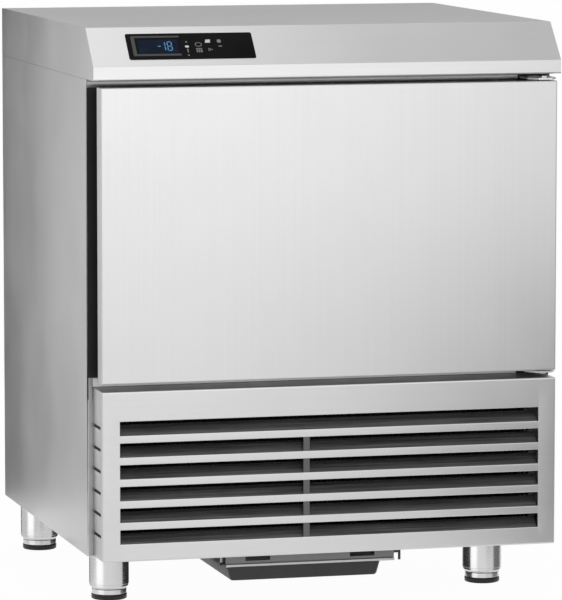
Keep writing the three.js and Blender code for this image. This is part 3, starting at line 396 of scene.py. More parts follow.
def hand_over(obj, body, replaces):
    """Puts the piece under its body's empty, and hides the nodes that it stands for."""
    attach(obj, body)
    if replaces:
        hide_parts(*replaces)


class Shape:
    """Closed bodies collected into one mesh."""

    def __init__(self):
        self.verts = []
        self.faces = []

    def add(self, verts, faces):
        start = len(self.verts)
        self.verts += [Vector(v) for v in verts]
        self.faces += [[start + i for i in face] for face in faces]
        return self

    def loft(self, rings, close=False):
        """Skins rings of equal length; the ends are capped unless the last ring meets the first."""
        count = len(rings[0])
        rows = len(rings)
        faces = []
        for k in range(rows if close else rows - 1):
            a, b = k * count, ((k + 1) % rows) * count
            for i in range(count):
                j = (i + 1) % count
                faces.append([a + i, a + j, b + j, b + i])
        if not close:
            faces.append(list(range(count))[::-1])
            faces.append(list(range((rows - 1) * count, rows * count)))
        return self.add([v for ring in rings for v in ring], faces)

    def block(self, x0, x1, y0, y1, z0, z1):
        low = [(x0, y0, z0), (x1, y0, z0), (x1, y1, z0), (x0, y1, z0)]
        return self.loft([low, [(x, y, z1) for x, y, _ in low]])

    def prism(self, outline, axis, start, end):
        """Outline in the plane across the axis: (y, z), (x, z) or (x, y)."""
        def at(point, depth):
            u, v = point
            return {"X": (depth, u, v), "Y": (u, depth, v), "Z": (u, v, depth)}[axis]
        return self.loft([[at(p, start) for p in outline], [at(p, end) for p in outline]])

    def lathe(self, profile, centre, axis="Z", steps=64):
        """Profile of (radius, height) along the axis through the centre."""
        rings = []
        for radius, height in profile:
            ring = []
            for turn in full_turn(steps):
                u, v = radius * math.cos(turn), radius * math.sin(turn)
                offset = {"Z": (u, v, height), "Y": (u, height, v), "X": (height, u, v)}[axis]
                ring.append(Vector(centre) + Vector(offset))
            rings.append(ring)
        return self.loft(rings)

    def tube(self, path, radius, steps=10, close=False):
        """Round wire along a path of points."""
        points = [Vector(p) for p in path]
        count = len(points)
        rings = []
        side = None
        for i, point in enumerate(points):
            before = points[(i - 1) % count] if close or i > 0 else point
            after = points[(i + 1) % count] if close or i < count - 1 else point
            ahead = (after - before).normalized()
            if side is None:
                side = ahead.orthogonal().normalized()
            side = (side - ahead * side.dot(ahead)).normalized()
            other = ahead.cross(side)
            rings.append([point + radius * (math.cos(t) * side + math.sin(t) * other)
                          for t in full_turn(steps)])
        return self.loft(rings, close)

    def make(self, name, body, slot, material, replaces=(), edge=0.0, angle=35):
        """The finished piece; edge is the radius, in millimetres, of its sharp edges."""
        obj = new_object(name, self.verts, self.faces, material)
        if edge:
            add_bevel(obj, "edge_radius", edge, angle).harden_normals = True
        else:
            obj.data.set_sharp_from_angle(angle=math.radians(angle))
        hand_over(obj, body, replaces)


def arc(centre, radius, start, end, steps):
    """Points of an arc in a plane, angles in degrees."""
    turns = [math.radians(start + (end - start) * k / steps) for k in range(steps + 1)]
    return [(centre[0] + radius * math.cos(t), centre[1] + radius * math.sin(t)) for t in turns]


def rounded(u0, u1, v0, v1, radius, steps=4):
    """Outline of a rectangle with round corners."""
    r = radius
    return [
        *arc((u1 - r, v0 + r), r, -90, 0, steps),
        *arc((u1 - r, v1 - r), r, 0, 90, steps),
        *arc((u0 + r, v1 - r), r, 90, 180, steps),
        *arc((u0 + r, v0 + r), r, 180, 270, steps),
    ]


def low_high(node):
    """The node's box in millimetres."""
    low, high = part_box(node)
    return [c / MM for c in low], [c / MM for c in high]


def axis_top(node):
    """X and Y of the node's upright middle line, and Z of its top."""
    low, high = low_high(node)
    return (low[0] + high[0]) / 2, (low[1] + high[1]) / 2, high[2]


# -------------------- legs and feet
CORNERS = ("front_left", "front_right", "rear_left", "rear_right")
POLISHED = polished_steel()
CORE = 1.0  # radius of the small flat that closes a turned end
LEG_R = 31.5
LEG_SHARP = 25
SLEEVE_FOOT = 17.2
SLEEVE_CAP = 30
FOOT_TOP = 16.7
PAD_TOP = 8.2
PAD_R = LEG_R - 3.2
STEM_R = 8.0
THREAD_DEPTH = 0.9
THREAD_PITCH = 1.5
THREAD_TURNS = 29
ROUND_STEPS = 96
THREAD_STEPS = 32


def make_legs():
    """Sleeve, polished foot ring, black pad and thread of each leg."""
    for where in CORNERS:
        x, y, top = axis_top(f"leg_sleeve_{where}")
        at = (x, y, 0)
        body = f"levelling_foot_{where}"
        sleeve = [
            (STEM_R + 1, top - SLEEVE_CAP), (STEM_R + 1, SLEEVE_FOOT), (LEG_R - 4.2, SLEEVE_FOOT),
            (LEG_R - 3.4, 17.8), (LEG_R - 1.0, 21.2), (LEG_R - 1.0, 22.6), (LEG_R - 0.6, 22.6),
            (LEG_R - 0.6, 24.4), (LEG_R, 25.0), (LEG_R, top - 0.4), (LEG_R - 0.4, top), (CORE, top),
        ]
        Shape().lathe(sleeve, at, steps=ROUND_STEPS).make(
            f"leg_{where}", "cabinet", STEEL_SLOT, POLISHED, [f"leg_sleeve_{where}"], angle=LEG_SHARP)
        ring = [
            (CORE, FOOT_TOP), (LEG_R - 4.6, FOOT_TOP), (LEG_R - 3.9, FOOT_TOP - 0.6),
            (LEG_R - 3.6, 9.2), (LEG_R - 4.4, 8.4), (CORE, 8.4),
        ]
        Shape().lathe(ring, at, steps=ROUND_STEPS).make(
            f"foot_ring_{where}", body, STEEL_SLOT, POLISHED, angle=LEG_SHARP)
        pad = [
            (CORE, PAD_TOP), (LEG_R - 4.0, PAD_TOP), (PAD_R, 7.4), (PAD_R, 2.0),
            (LEG_R - 4.0, 0.6), (LEG_R - 5.6, 0.0), (CORE, 0.0),
        ]
        Shape().lathe(pad, at, steps=ROUND_STEPS).make(
            f"foot_pad_{where}", body, PLASTIC_SLOT, MATERIALS["black_plastic"], [f"foot_{where}"],
            angle=40)
        root, crest = FOOT_TOP + 0.2, FOOT_TOP + 0.95
        thread = [(CORE, root)]
        for k in range(THREAD_TURNS):
            rise = THREAD_PITCH * k
            thread += [(STEM_R - THREAD_DEPTH, root + rise), (STEM_R, crest + rise)]
        thread.append((CORE, thread[-1][1] + 0.3))
        Shape().lathe(thread, at, steps=THREAD_STEPS).make(
            f"foot_thread_{where}", body, STEEL_SLOT, MATERIALS["zinc_coated_sheet"], angle=20)


make_legs()


# -------------------- display
SLOPE_TOP = Vector((0, -304, 914))
SLOPE_UP = Vector((0, 56, 57.5)).normalized()
SLOPE_OUT = Vector((0, -57.5, 56)).normalized()
LENS_MID = -215.5
LENS_TOP = 14.5
LENS_SKIN = 0.8
MARK_T = 0.2
MARK_LIFT = LENS_SKIN + 0.1
DIGIT_DOWN = 17.5
DIGIT_W = 6.4
DIGIT_H = 17.5
DIGIT_STROKE = 1.7
SEGMENT_GAP = 0.4
RING_DASHES = 16


def on_slope(u, down, lift):
    """Point of the fascia: u from the lens's middle, down from its top edge, lift off the sheet."""
    return SLOPE_TOP + Vector((LENS_MID + u, 0, 0)) - SLOPE_UP * (LENS_TOP + down) + SLOPE_OUT * lift


def slope_plate(shape, outline, thickness=0.12, lift=LENS_SKIN):
    """Thin plate with an outline of (u, down) on the lens."""
    rings = [[on_slope(u, down, lift + depth) for u, down in outline] for depth in (0.01, thickness)]
    return shape.loft(rings)


def digit(shape, u, segments):
    """Seven-segment digit; segments are named a to g, clockwise from the top and the middle last."""
    top, mid, foot = DIGIT_DOWN, DIGIT_DOWN + DIGIT_H / 2, DIGIT_DOWN + DIGIT_H
    right = u + DIGIT_W
    bars = {
        "a": (u, right, top, top),
        "b": (right, right, top, mid),
        "c": (right, right, mid, foot),
        "d": (u, right, foot, foot),
        "e": (u, u, mid, foot),
        "f": (u, u, top, mid),
        "g": (u, right, mid, mid),
    }
    half, gap = DIGIT_STROKE / 2, SEGMENT_GAP
    for name in segments:
        u0, u1, v0, v1 = bars[name]
        if u0 == u1:
            outline = [(u0, v0 + gap), (u0 + half, v0 + half + gap), (u0 + half, v1 - half - gap),
                       (u0, v1 - gap), (u0 - half, v1 - half - gap), (u0 - half, v0 + half + gap)]
        else:
            outline = [(u0 + gap, v0), (u0 + half + gap, v0 - half), (u1 - half - gap, v0 - half),
                       (u1 - gap, v0), (u1 - half - gap, v0 + half), (u0 + half + gap, v0 + half)]
        slope_plate(shape, outline, MARK_T, MARK_LIFT)


def make_display():
    """Blue window with the reading -18, its printed frame and the touch marks beside it."""
    def show(shape, name, material):
        shape.make(name, "cabinet", GLASS_SLOT, material)

    lcd = Finish("lcd_glass", (0.006, 0.010, 0.022), 0.16)
    haze = lcd.noise(60)
    lcd.tint(lcd.spread(haze, 0.7, 1.4))
    lcd.rough(lcd.spread(haze, 0.12, 0.22))
    lcd.set(Specular_IOR_Level=0.04, Emission_Color=(0.06, 0.22, 0.6, 1), Emission_Strength=0.008)
    show(slope_plate(Shape(), rounded(-82.5, -20.5, 12.5, 39.5, 1)), "lcd_window", lcd.material)
    border = Shape()
    for u0, u1, top, foot, radius in (
            (-92.5, -87.0, 5.0, 45.5, 1.2), (-87.2, -16.0, 5.0, 8.6, 1.0), (-87.2, -17.0, 41.5, 45.5, 1.0)):
        slope_plate(border, rounded(u0, u1, top, foot, radius))
    show(border, "lcd_frame", printed_ink("frame_ink", (0.030, 0.030, 0.033)))
    digits = Shape()
    digit(digits, -47.0, "bc")
    digit(digits, -36.5, "abcdefg")
    slope_plate(digits, rounded(-52.0, -47.6, 25.4, 27.1, 0.5), MARK_T, MARK_LIFT)
    show(digits, "temperature_digits", glowing("digit_glow", (0.06, 0.20, 0.42), 0.22))
    bright = Shape()
    slope_plate(bright, [(23.5, 20.2), (25.0, 13.8), (32.5, 13.8), (31.5, 20.2)])
    slope_plate(bright, rounded(-9.3, -3.0, 25.2, 29.6, 2.0))
    show(bright, "touch_marks_bright", printed_ink("white_ink", (0.62, 0.62, 0.60)))
    grey = Shape()
    slope_plate(grey, [(-8.0, 19.0), (-6.0, 15.8), (-4.0, 19.0)])
    slope_plate(grey, rounded(-6.6, -5.0, 31.5, 39.5, 0.7))
    slope_plate(grey, [(-8.0, 44.0), (-4.0, 44.0), (-6.0, 47.2)])
    for row in range(3):
        for column in range(3):
            u, down = 7.6 + 3.4 * column, 31.0 + 3.0 * row
            slope_plate(grey, rounded(u, u + 2.5, down, down + 2.2, 0.3))
    ring_u, ring_down, inner, outer, stretch = 12.5, 23.5, 3.4, 4.5, 1.25
    for k in range(RING_DASHES):
        a, b = (2 * math.pi * (k + step) / RING_DASHES for step in (0.08, 0.92))
        dash = ((inner, a), (outer, a), (outer, b), (inner, b))
        slope_plate(grey, [(ring_u + r * math.cos(t) * stretch, ring_down + r * math.sin(t))
                           for r, t in dash])
    for k in range(3):
        u = 2.6 * k
        slope_plate(grey, rounded(27.0 + u, 28.3 + u, 31.0 + k, 37.0 - k, 0.4))
    slope_plate(grey, rounded(43.0, 49.0, 14.0, 20.5, 1.6))
    slope_plate(grey, rounded(43.5, 49.5, 26.5, 28.2, 0.7))
    show(grey, "touch_marks_grey", printed_ink("grey_ink", (0.20, 0.20, 0.19)))


make_display()


# -------------------- louvred front panel
FACE_X = 366.0
FRONT_Y = -370.0
PANEL_BACK = -304.3
PANEL_Z = (92.0, 357.0)
SLOT_X = 338.0
SLOT_COUNT = 6
SLOT_LOW = 119.6
SLOT_PITCH = 33.8
SLOT_Z = [SLOT_LOW + SLOT_PITCH * i for i in range(SLOT_COUNT)]
SLOT_H = 21.6
ROLL = 1.4
SHEET = 1.2
SHEET_SHARP = 60
SLIT_FRONT = -359.0
SLIT_H = 5.4
TIE_X = (-45.6, -34.4)


class Sheet:
    """Open surface of four-sided faces that share their corners."""

    def __init__(self):
        self.index = {}
        self.faces = []

    def corner(self, point):
        key = tuple(round(c, 4) for c in point)
        return self.index.setdefault(key, len(self.index))

    def quad(self, *points):
        self.faces.append([self.corner(p) for p in points])

    def make(self, name, body, slot, material, replaces=(), fold=2.5, thickness=SHEET, angle=60):
        """Folds rounded where the sheet turns by more than the angle, then given its thickness."""
        obj = new_object(name, self.index, self.faces, material)
        add_bevel(obj, "folds", fold, angle, segments=4)
        skin = obj.modifiers.new("thickness", "SOLIDIFY")
        skin.thickness = thickness * MM
        skin.offset = -1
        obj.modifiers.new("shading", "WEIGHTED_NORMAL").keep_sharp = True
        obj.data.set_sharp_from_angle(angle=math.radians(SHEET_SHARP))
        hand_over(obj, body, replaces)


def add_panel_sides(sheet, low, high):
    """Solid margins left and right of the slots, and the two returns with their short slits."""
    slits = [z + SLOT_H / 2 - SLIT_H / 2 for z in SLOT_Z]
    levels = {low, high}
    for z, slit in zip(SLOT_Z, slits):
        levels |= {z, z + SLOT_H, slit, slit + SLIT_H}
    levels = sorted(round(z, 3) for z in levels)
    to_slit, to_back = (FRONT_Y, SLIT_FRONT), (SLIT_FRONT, PANEL_BACK)
    for z0, z1 in zip(levels, levels[1:]):
        slitted = any(slit < (z0 + z1) / 2 < slit + SLIT_H for slit in slits)
        for x0, x1 in ((-FACE_X, -SLOT_X), (SLOT_X, FACE_X)):
            sheet.quad((x0, FRONT_Y, z0), (x1, FRONT_Y, z0), (x1, FRONT_Y, z1), (x0, FRONT_Y, z1))
        for x, sign in ((-FACE_X, 1), (FACE_X, -1)):
            for y0, y1 in [to_slit] if slitted else [to_slit, to_back]:
                ring = [(x, y0, z0), (x, y1, z0), (x, y1, z1), (x, y0, z1)]
                sheet.quad(*ring[::sign])


def add_panel_bars(sheet, low, high):
    """Face between the slots; it rolls inwards along the slots' edges."""
    edges = [low] + [z for s in SLOT_Z for z in (s, s + SLOT_H)] + [high]
    roll_y = FRONT_Y + ROLL
    for z0, z1 in zip(edges[::2], edges[1::2]):
        lower = [(FRONT_Y, z0)] if z0 == low else arc((roll_y, z0 + ROLL), ROLL, 270, 180, 3)
        upper = [(FRONT_Y, z1)] if z1 == high else arc((roll_y, z1 - ROLL), ROLL, 180, 90, 3)
        path = lower + upper
        for (y0, v0), (y1, v1) in zip(path, path[1:]):
            sheet.quad((-SLOT_X, y0, v0), (SLOT_X, y0, v0), (SLOT_X, y1, v1), (-SLOT_X, y1, v1))


def make_front_panel():
    """Folded pan with six long slots in its face and short slits in its side returns."""
    low, high = PANEL_Z
    sheet = Sheet()
    add_panel_sides(sheet, low, high)
    add_panel_bars(sheet, low, high)
    columns = [-FACE_X, -SLOT_X, SLOT_X, FACE_X]
    for z in (low, high):
        for x0, x1 in zip(columns, columns[1:]):
            for y0, y1 in ((FRONT_Y, SLIT_FRONT), (SLIT_FRONT, PANEL_BACK)):
                sheet.quad((x0, y0, z), (x1, y0, z), (x1, y1, z), (x0, y1, z))
    sheet.make("louvred_panel", "cabinet", STEEL_SLOT, STEEL["X"], ["front_grille_panel"])


def make_louvres():
    """Blades that lean back and up behind the slots; their front fold is left out at the tie strip."""
    end = SLOT_X - 1
    tie_left, tie_right = TIE_X
    blades = Shape()
    for z in SLOT_Z:
        top = [(FRONT_Y + 1.6, z - 0.8), (FRONT_Y + 3.6, z + 0.9), (FRONT_Y + 18.2, z + 15.0)]
        under = [(FRONT_Y + 19.0, z + 14.2), (FRONT_Y + 4.3, z), (FRONT_Y + 2.4, z - 1.6)]
        for x0, x1 in ((-end, tie_left), (tie_right, end)):
            blades.prism(top + under, "X", x0, x1)
        blades.prism([top[1], top[2], under[0], under[1]], "X", tie_left, tie_right)
    # The blades' dark steel is painted shade inside the slots.
    blades.make("louvre_blades", "cabinet", STEEL_SLOT, blade_steel_painted_shade(), edge=0.25)


def make_slit_shade_strips():
    """Black strips behind the slits in the panel's returns: painted shade that closes the view through
    them.
    """
    near, far = 2.2, 3.4
    slit_shade_strip = Shape()
    for x0, x1 in ((-FACE_X + near, -FACE_X + far), (FACE_X - far, FACE_X - near)):
        slit_shade_strip.block(x0, x1, SLIT_FRONT - 2, PANEL_BACK - 0.5, SLOT_Z[0], SLOT_Z[-1] + SLOT_H)
    slit_shade_strip.make("flange_slit_shade_strips", "cabinet", PLASTIC_SLOT, MATERIALS["seal_rubber"], edge=0.2)


make_front_panel()
make_louvres()
make_slit_shade_strips()
# The tie strip's dark steel is painted shade behind the slots.
wear(NODES["grille_tie_strip"], brushed_steel("tie_strip_steel_painted_shade", "Z", (0.14, 0.14, 0.14), 0.5))


def make_filter():
    """Black dust filter between the louvres and the condenser: a frame with a pleated mat. Its near-black
    is partly painted shade seen through the slots.
    """
    x0, x1, z0, z1 = -336.0, 336.0, 98.0, 334.0
    front, back = -300.5, -291.0
    stile, rail = 6, 5
    pleats, inset = 84, 2
    # The mat's near-black is partly painted shade behind the slots.
    cloth = Finish("filter_mat", (0.010, 0.010, 0.010), 0.95)
    cloth.tint(cloth.spread(cloth.noise(380, detail=4), 0.5, 1.6))
    cloth.bump(cloth.noise(800, detail=3), 0.0004, 0.8)
    cloth.set(Specular_IOR_Level=0.1)
    left, right = x0 + stile, x1 - stile
    step = (x1 - x0 - 2 * stile) / pleats
    wave = []
    for k in range(pleats):
        x = left + step * k
        wave += [(x, back - inset), (x + step / 2, front + inset)]
    wave.append((right, back - inset))
    Shape().prism(wave + [(right, back), (left, back)], "Z", z0 + rail, z1 - rail).make(
        "filter_mat", "cabinet", PLASTIC_SLOT, cloth.material)
    border = Shape()
    for a, b, c, d in ((x0, x1, z0, z0 + rail), (x0, x1, z1 - rail, z1),
                       (x0, left, z0 + rail, z1 - rail), (right, x1, z0 + rail, z1 - rail)):
        border.block(a, b, front, back, c, d)
    border.make("filter_frame", "cabinet", PLASTIC_SLOT, MATERIALS["black_plastic"], edge=0.6)


make_filter()


# -------------------- cabinet front behind the gaps
# Grey plastic of the edge strips, darker than the steel beside them: painted shade in the gap by the grille
# panel.
EDGE_PLASTIC_PAINTED_SHADE = moulded_plastic("edge_plastic_painted_shade", (0.42, 0.42, 0.425), 0.5)


def make_gap_plates():
    """Steel sill and header on the face of the frame, and the strips beside the grille panel. The header's
    darker steel and the strips' grey are painted shade in the gaps.
    """
    front, back = -305.3, -304.1
    left, right = -373.2, 321.0
    sill_left, sill_foot, sill_top = -366.2, 357.5, 371.8
    Shape().block(sill_left, right, front, back, sill_foot, sill_top).make(
        "front_sill", "cabinet", STEEL_SLOT, STEEL["X"], edge=0.3)
    foot, top = 822.0, 834.2
    bead = [(back, foot), *arc((back + 14.0, (foot + top) / 2), 15.6, 203, 157, 10), (back, top)]
    # The header's steel is darker than the sill's: painted shade in the gap above the door.
    shaded = brushed_steel("header_steel_painted_shade", "X", (0.52, 0.52, 0.52), 0.4)
    Shape().prism(bead, "X", left, right).make("front_header", "cabinet", STEEL_SLOT, shaded, angle=50)
    shoulder, face, chamfer = -304.9, -305.4, 0.6
    for hand, side, strip_top in (("left", -1, sill_top), ("right", 1, 338.0)):
        outer, inner = side * 372.7, side * 366.5
        edge = [(outer, back), (outer, shoulder), (outer - side * chamfer, face),
                (inner + side * chamfer, face), (inner, shoulder), (inner, back)]
        Shape().prism(edge, "Z", 93.0, strip_top).make(
            f"edge_strip_{hand}", "cabinet", "grey_plastic", EDGE_PLASTIC_PAINTED_SHADE, angle=50)


make_gap_plates()


# -------------------- drip tray
RIM_Z = 70.0
RIM_T = 2.5
TUB_X = (-156.0, 97.0)
TUB_FLOOR = 45.0
TUB_TAPER = 8.0
RUNNER_T = 1.5
RUNNER_FLANGE = 22.0
HOOK_T = 1.4


def make_tub():
    """Black tub with sloped sides, a round-cornered floor and a flat rim."""
    low, high = low_high("drip_tray")
    y0, y1 = low[1], high[1]
    left, right = TUB_X
    top = RIM_Z + RIM_T

    def ring(grow, z, radius):
        squeeze = TUB_TAPER * (top - z) / (top - TUB_FLOOR)
        outline = rounded(left + squeeze - grow, right - squeeze + grow,
                          y0 - min(grow, 0), y1 + min(grow, 0), radius, 5)
        return [(x, y, z) for x, y in outline]

    def rim(z, inset):
        outline = rounded(low[0] + inset, high[0] - inset, y0 + inset, y1 - inset, 7, 5)
        return [(x, y, z) for x, y in outline]

    outside = [ring(-5, TUB_FLOOR, 4), ring(-1.5, 45.6, 5), ring(0, 48.0, 6), ring(0, RIM_Z, 6)]
    flat = [rim(RIM_Z, 0.6), rim(RIM_Z + 0.6, 0), rim(RIM_Z + 1.9, 0), rim(top, 0.6)]
    inside = [ring(-2, top, 5), ring(-2.6, RIM_Z + 1.5, 5), ring(-2.2, 50.0, 4), ring(-4, 47.6, 4),
              ring(-7, 47.0, 3)]
    plastic = moulded_plastic("tub_plastic", (0.042, 0.042, 0.044), 0.45)
    Shape().loft(outside + flat + inside).make(
        "drip_tub", "tray_carrier", PLASTIC_SLOT, plastic, ["drip_tray"], angle=50)


def make_tray_rail():
    """Zinc-coated rail on the tray's front, notched from above twice, with a rolled hem below."""
    low, high = low_high("drip_tray_front_rail")
    x0, x1 = low[0], high[0]
    face, foot, top = low[1], low[2], high[2]
    notches = [(x0 + 32, x0 + 72), (x1 - 72, x1 - 32)]
    cuts = sorted([x0, x1] + [x for pair in notches for x in pair])
    roll, roll_z = 1.8, foot + 1.2
    hem = [(face - roll, foot + 3.4), (face - roll, roll_z),
           *arc((face, roll_z), roll, 180, 360, 6)[1:-1], (face + roll, roll_z)]
    plate = [hem[-1], (face + roll, top - 7.0), (face + roll, top)]
    # The plate and the hem are shaded and lit copies of one zinc: the plate's dark colour is painted shade
    # under the grille panel, the hem's lighter one a painted highlight.
    parts = (("drip_tray_rail", plate, (0.20, 0.20, 0.205), ["drip_tray_front_rail"]),
             ("drip_tray_hem", hem, (0.52, 0.52, 0.53), ()))
    for name, profile, colour, stands_for in parts:
        sheet = Sheet()
        for a, b in zip(cuts, cuts[1:]):
            notched = (a, b) in notches and profile is plate
            for (p, u), (q, v) in list(zip(profile, profile[1:]))[:-1 if notched else None]:
                sheet.quad((a, p, u), (b, p, u), (b, q, v), (a, q, v))
        zinc = zinc_sheet(f"{name}_zinc", colour)
        sheet.make(name, "tray_carrier", "zinc_coated_sheet", zinc, stands_for,
                   fold=0.1, thickness=0.9, angle=80)


def make_runners():
    """The tray's two channels, with the hook and the clip at their front ends."""
    enamel = MATERIALS["black_enamel"]
    for hand, side, web, lip_w in (("left", -1, -162.8, 4.8), ("right", 1, 113.8, 9.8)):
        low, high = low_high(f"drip_tray_runner_{hand}")
        foot, head, front, back = low[2], high[2], low[1], high[1]
        lip = web - side * lip_w
        step = side * RUNNER_T
        flange = web - side * RUNNER_FLANGE
        section = [(lip, foot), (web, foot), (web, head), (flange, head), (flange, head - RUNNER_T),
                   (web - step, head - RUNNER_T), (web - step, foot + RUNNER_T), (lip, foot + RUNNER_T)]
        runner = Shape().prism(section, "Y", front, back)
        root, hook_top = web - side * 0.5, head - 0.4
        if side > 0:
            end, leg, leg_foot, bar = 131.5, 127.4, 65.6, 77.0
            hook = [(root, hook_top), (end, hook_top), (end, leg_foot), (leg, leg_foot), (leg, bar),
                    (root, bar)]
        else:
            end, bend, bar, tip = -173.6, -168.0, 73.6, 77.5
            hook = [(root, hook_top), (root, bar), (bend, bar), (end, tip), (end, hook_top)]
        runner.prism(hook, "Y", front - HOOK_T, front)
        runner.make(f"runner_{hand}_channel", "cabinet", "black_enamel", enamel,
                    [f"drip_tray_runner_{hand}"], edge=0.25)
    left, right, foot, top = -163.4, -159.2, 73.4, 92.4
    clip = [(left, foot), (right, foot), (right, top), (left, top)]
    Shape().prism(clip, "Y", -305.6, -304.5).make(
        "runner_clip", "cabinet", "zinc_coated_sheet", MATERIALS["zinc_coated_sheet"], edge=0.3)


make_runners()
make_tub()
make_tray_rail()


# -------------------- door: seal and inner pan
def door_ring(node, inset, y, radius):
    """Round-cornered outline of the node's front view, drawn in by the inset."""
    low, high = low_high(node)
    outline = rounded(low[0] + inset, high[0] - inset, low[2] + inset, high[2] - inset, radius, 5)
    return [(x, y, z) for x, z in outline]


def make_seal():
    """Door seal: a flat foot held in the pan, a folded neck and a soft bulb with its magnet."""
    section = [
        (0.0, -317.5), (0.0, -315.9), (1.2, -315.2), (3.0, -314.6), (3.3, -313.2), (1.5, -311.8),
        (0.6, -310.2), (1.8, -308.8), (3.4, -307.9), (2.4, -306.8), (2.0, -305.6), (3.2, -304.6),
        (5.0, -304.3), (13.0, -304.3), (15.4, -304.8), (16.6, -306.2), (15.9, -307.8), (15.2, -309.4),
        (16.2, -311.4), (15.6, -313.4), (17.4, -314.6), (19.6, -315.2), (20.0, -316.2), (20.0, -317.5),
    ]
    middle = 10
    rings = [door_ring("door_gasket", inset, y, 6.0 if inset < middle else 3.0) for inset, y in section]
    Shape().loft(rings, close=True).make(
        "door_seal", "door", "seal_rubber", MATERIALS["seal_rubber"], ["door_gasket"], angle=50)


def make_inner_pan():
    """Pressed inner face of the door: a lip behind the outer pan's edge, a rounded rim and two grooves."""
    face, back = -342.5, -317.8
    lip, lip_y = -1.4, -342.98
    rim = ((lip, lip_y), (lip, face), (0, face), (0, back - 2.4), (0.7, back - 0.7), (2.4, back))
    groove = ((22.0, 0.0), (23.4, -1.1), (26.6, -1.1), (28.0, 0.0), (62.0, 0.0), (63.8, -1.2), (68.2, -1.2),
              (70.0, 0.0))
    rings = [door_ring("door_inner_pan", inset, y, 3) for inset, y in rim]
    rings += [door_ring("door_inner_pan", inset, back + step, 8) for inset, step in groove]
    Shape().loft(rings).make(
        "door_inner_face", "door", STEEL_SLOT, STEEL["Z"], ["door_inner_pan"], angle=50)


# -------------------- screws and fittings
SCREW_CORNERS = 12
REAR_EDGE_Y = 346.0
REAR_PANEL_Y = 344.5
HINGE_PLATE_Y = -307.3
HINGE_AXIS = (347.0, -354.0)
FAN_FACE_Y = 132.0
FAN_Z = 597
FAN_SCREW_R = 114
FAN_OPENING_R = 103.5
GLAND_X = 300.0
GLAND_Z = 135.0
COMPRESSOR_AT = (215.0, 70.0)


def make_screws(name, body, spots, normal, radius=3.4):
    """Round heads with a six-sided socket, all on one face."""
    turn = Vector((0, 0, 1)).rotation_difference(Vector(normal)).to_matrix()
    # Reach and height as shares of the radius, and 1 where the ring is six-sided
    steps = ((1.0, 0.0, 0), (1.0, 0.26, 0), (0.86, 0.48, 0), (0.56, 0.58, 0), (0.44, 0.58, 1),
             (0.42, 0.25, 1))
    shape = Shape()
    for spot in spots:
        rings = []
        for reach, height, six_sided in steps:
            ring = []
            for k in range(SCREW_CORNERS):
                flat = math.cos(math.pi / 6) if six_sided and k % 2 else 1.0
                angle = k * math.pi / 6
                out = reach * radius * flat
                offset = Vector((out * math.cos(angle), out * math.sin(angle), height * radius))
                ring.append(Vector(spot) + turn @ offset)
            rings.append(ring)
        shape.loft(rings)
    shape.make(name, body, STEEL_SLOT, POLISHED, angle=40)


def make_all_screws():
    rear = [(side * 367.5, REAR_EDGE_Y, z) for side in (-1, 1)
            for z in (128, 225, 322, 356, 510, 664, 818)]
    rear += [(x, REAR_EDGE_Y, 852) for x in (-300, 0, 300)]
    make_screws("rear_edge_screws", "cabinet", rear, (0, 1, 0))
    panel = [(x, REAR_PANEL_Y, z) for z in (331, 345) for x in (-280, -140, 0, 140, 280)]
    make_screws("rear_panel_screws", "cabinet", panel, (0, 1, 0), 2.8)
    hinge = [(359, HINGE_PLATE_Y, z) for z in (381, 401, 792, 812)]
    make_screws("hinge_screws", "cabinet", hinge, (0, -1, 0), 3.2)
    fan = [(x, FAN_FACE_Y, z) for x in (-288, 288) for z in (431, FAN_Z, 763)]
    for turn in (math.radians(a) for a in (45, 135, 225, 315)):
        fan.append((FAN_SCREW_R * math.cos(turn), FAN_FACE_Y, FAN_Z + FAN_SCREW_R * math.sin(turn)))
    make_screws("fan_panel_screws", "cabinet", fan, (0, -1, 0), 3.0)


def make_hinge_bolts():
    """Six-sided heads with a hollow middle, on the hinge's axis above and below the door."""
    for name, z, out in (("hinge_bolt_top", 829.1, 1), ("hinge_bolt_bottom", 363.9, -1)):
        head = [(CORE, 0.0), (7.2, 0.0), (7.2, out * 2.2), (6.0, out * 3.0), (2.2, out * 3.0),
                (2.0, out * 1.6)]
        Shape().lathe(head, (*HINGE_AXIS, z), steps=6).make(
            name, "cabinet", STEEL_SLOT, POLISHED, edge=0.25)


def make_fan_bead():
    """Round wire along the edge of the fan's opening."""
    circle = [(FAN_OPENING_R * math.cos(t), FAN_FACE_Y - 1, FAN_Z + FAN_OPENING_R * math.sin(t))
              for t in full_turn(72)]
    Shape().tube(circle, 2.2, 8, close=True).make(
        "fan_opening_bead", "cabinet", STEEL_SLOT, POLISHED, angle=60)


def make_strainer():
    """Ring, middle and twelve spokes over the chamber's drain."""
    x, y, top = axis_top("drain_tube")
    rim = [(13.2, 0.0), (17.4, 0.0), (17.4, 0.8), (16.6, 1.4), (14.0, 1.6), (13.2, 1.0)]
    strainer = Shape()
    strainer.loft([[(x + r * math.cos(t), y + r * math.sin(t), top + h) for t in full_turn(48)]
                   for r, h in rim], close=True)
    strainer.lathe([(0.8, 0.2), (4.6, 0.2), (4.6, 1.3), (3.8, 1.9), (0.8, 2.0)], (x, y, top), steps=32)
    spokes, near_r, far_r, spread = 12, 4.0, 13.8, 6.0
    for k in range(spokes):
        turns = [math.radians(360 // spokes * k + t) for t in (-spread, spread)]
        near = [(x + near_r * math.cos(t), y + near_r * math.sin(t)) for t in turns]
        far = [(x + far_r * math.cos(t), y + far_r * math.sin(t)) for t in reversed(turns)]
        strainer.prism(near + far, "Z", top + 0.3, top + 1.3)
    strainer.make("drain_strainer", "cabinet", STEEL_SLOT, POLISHED, angle=35)


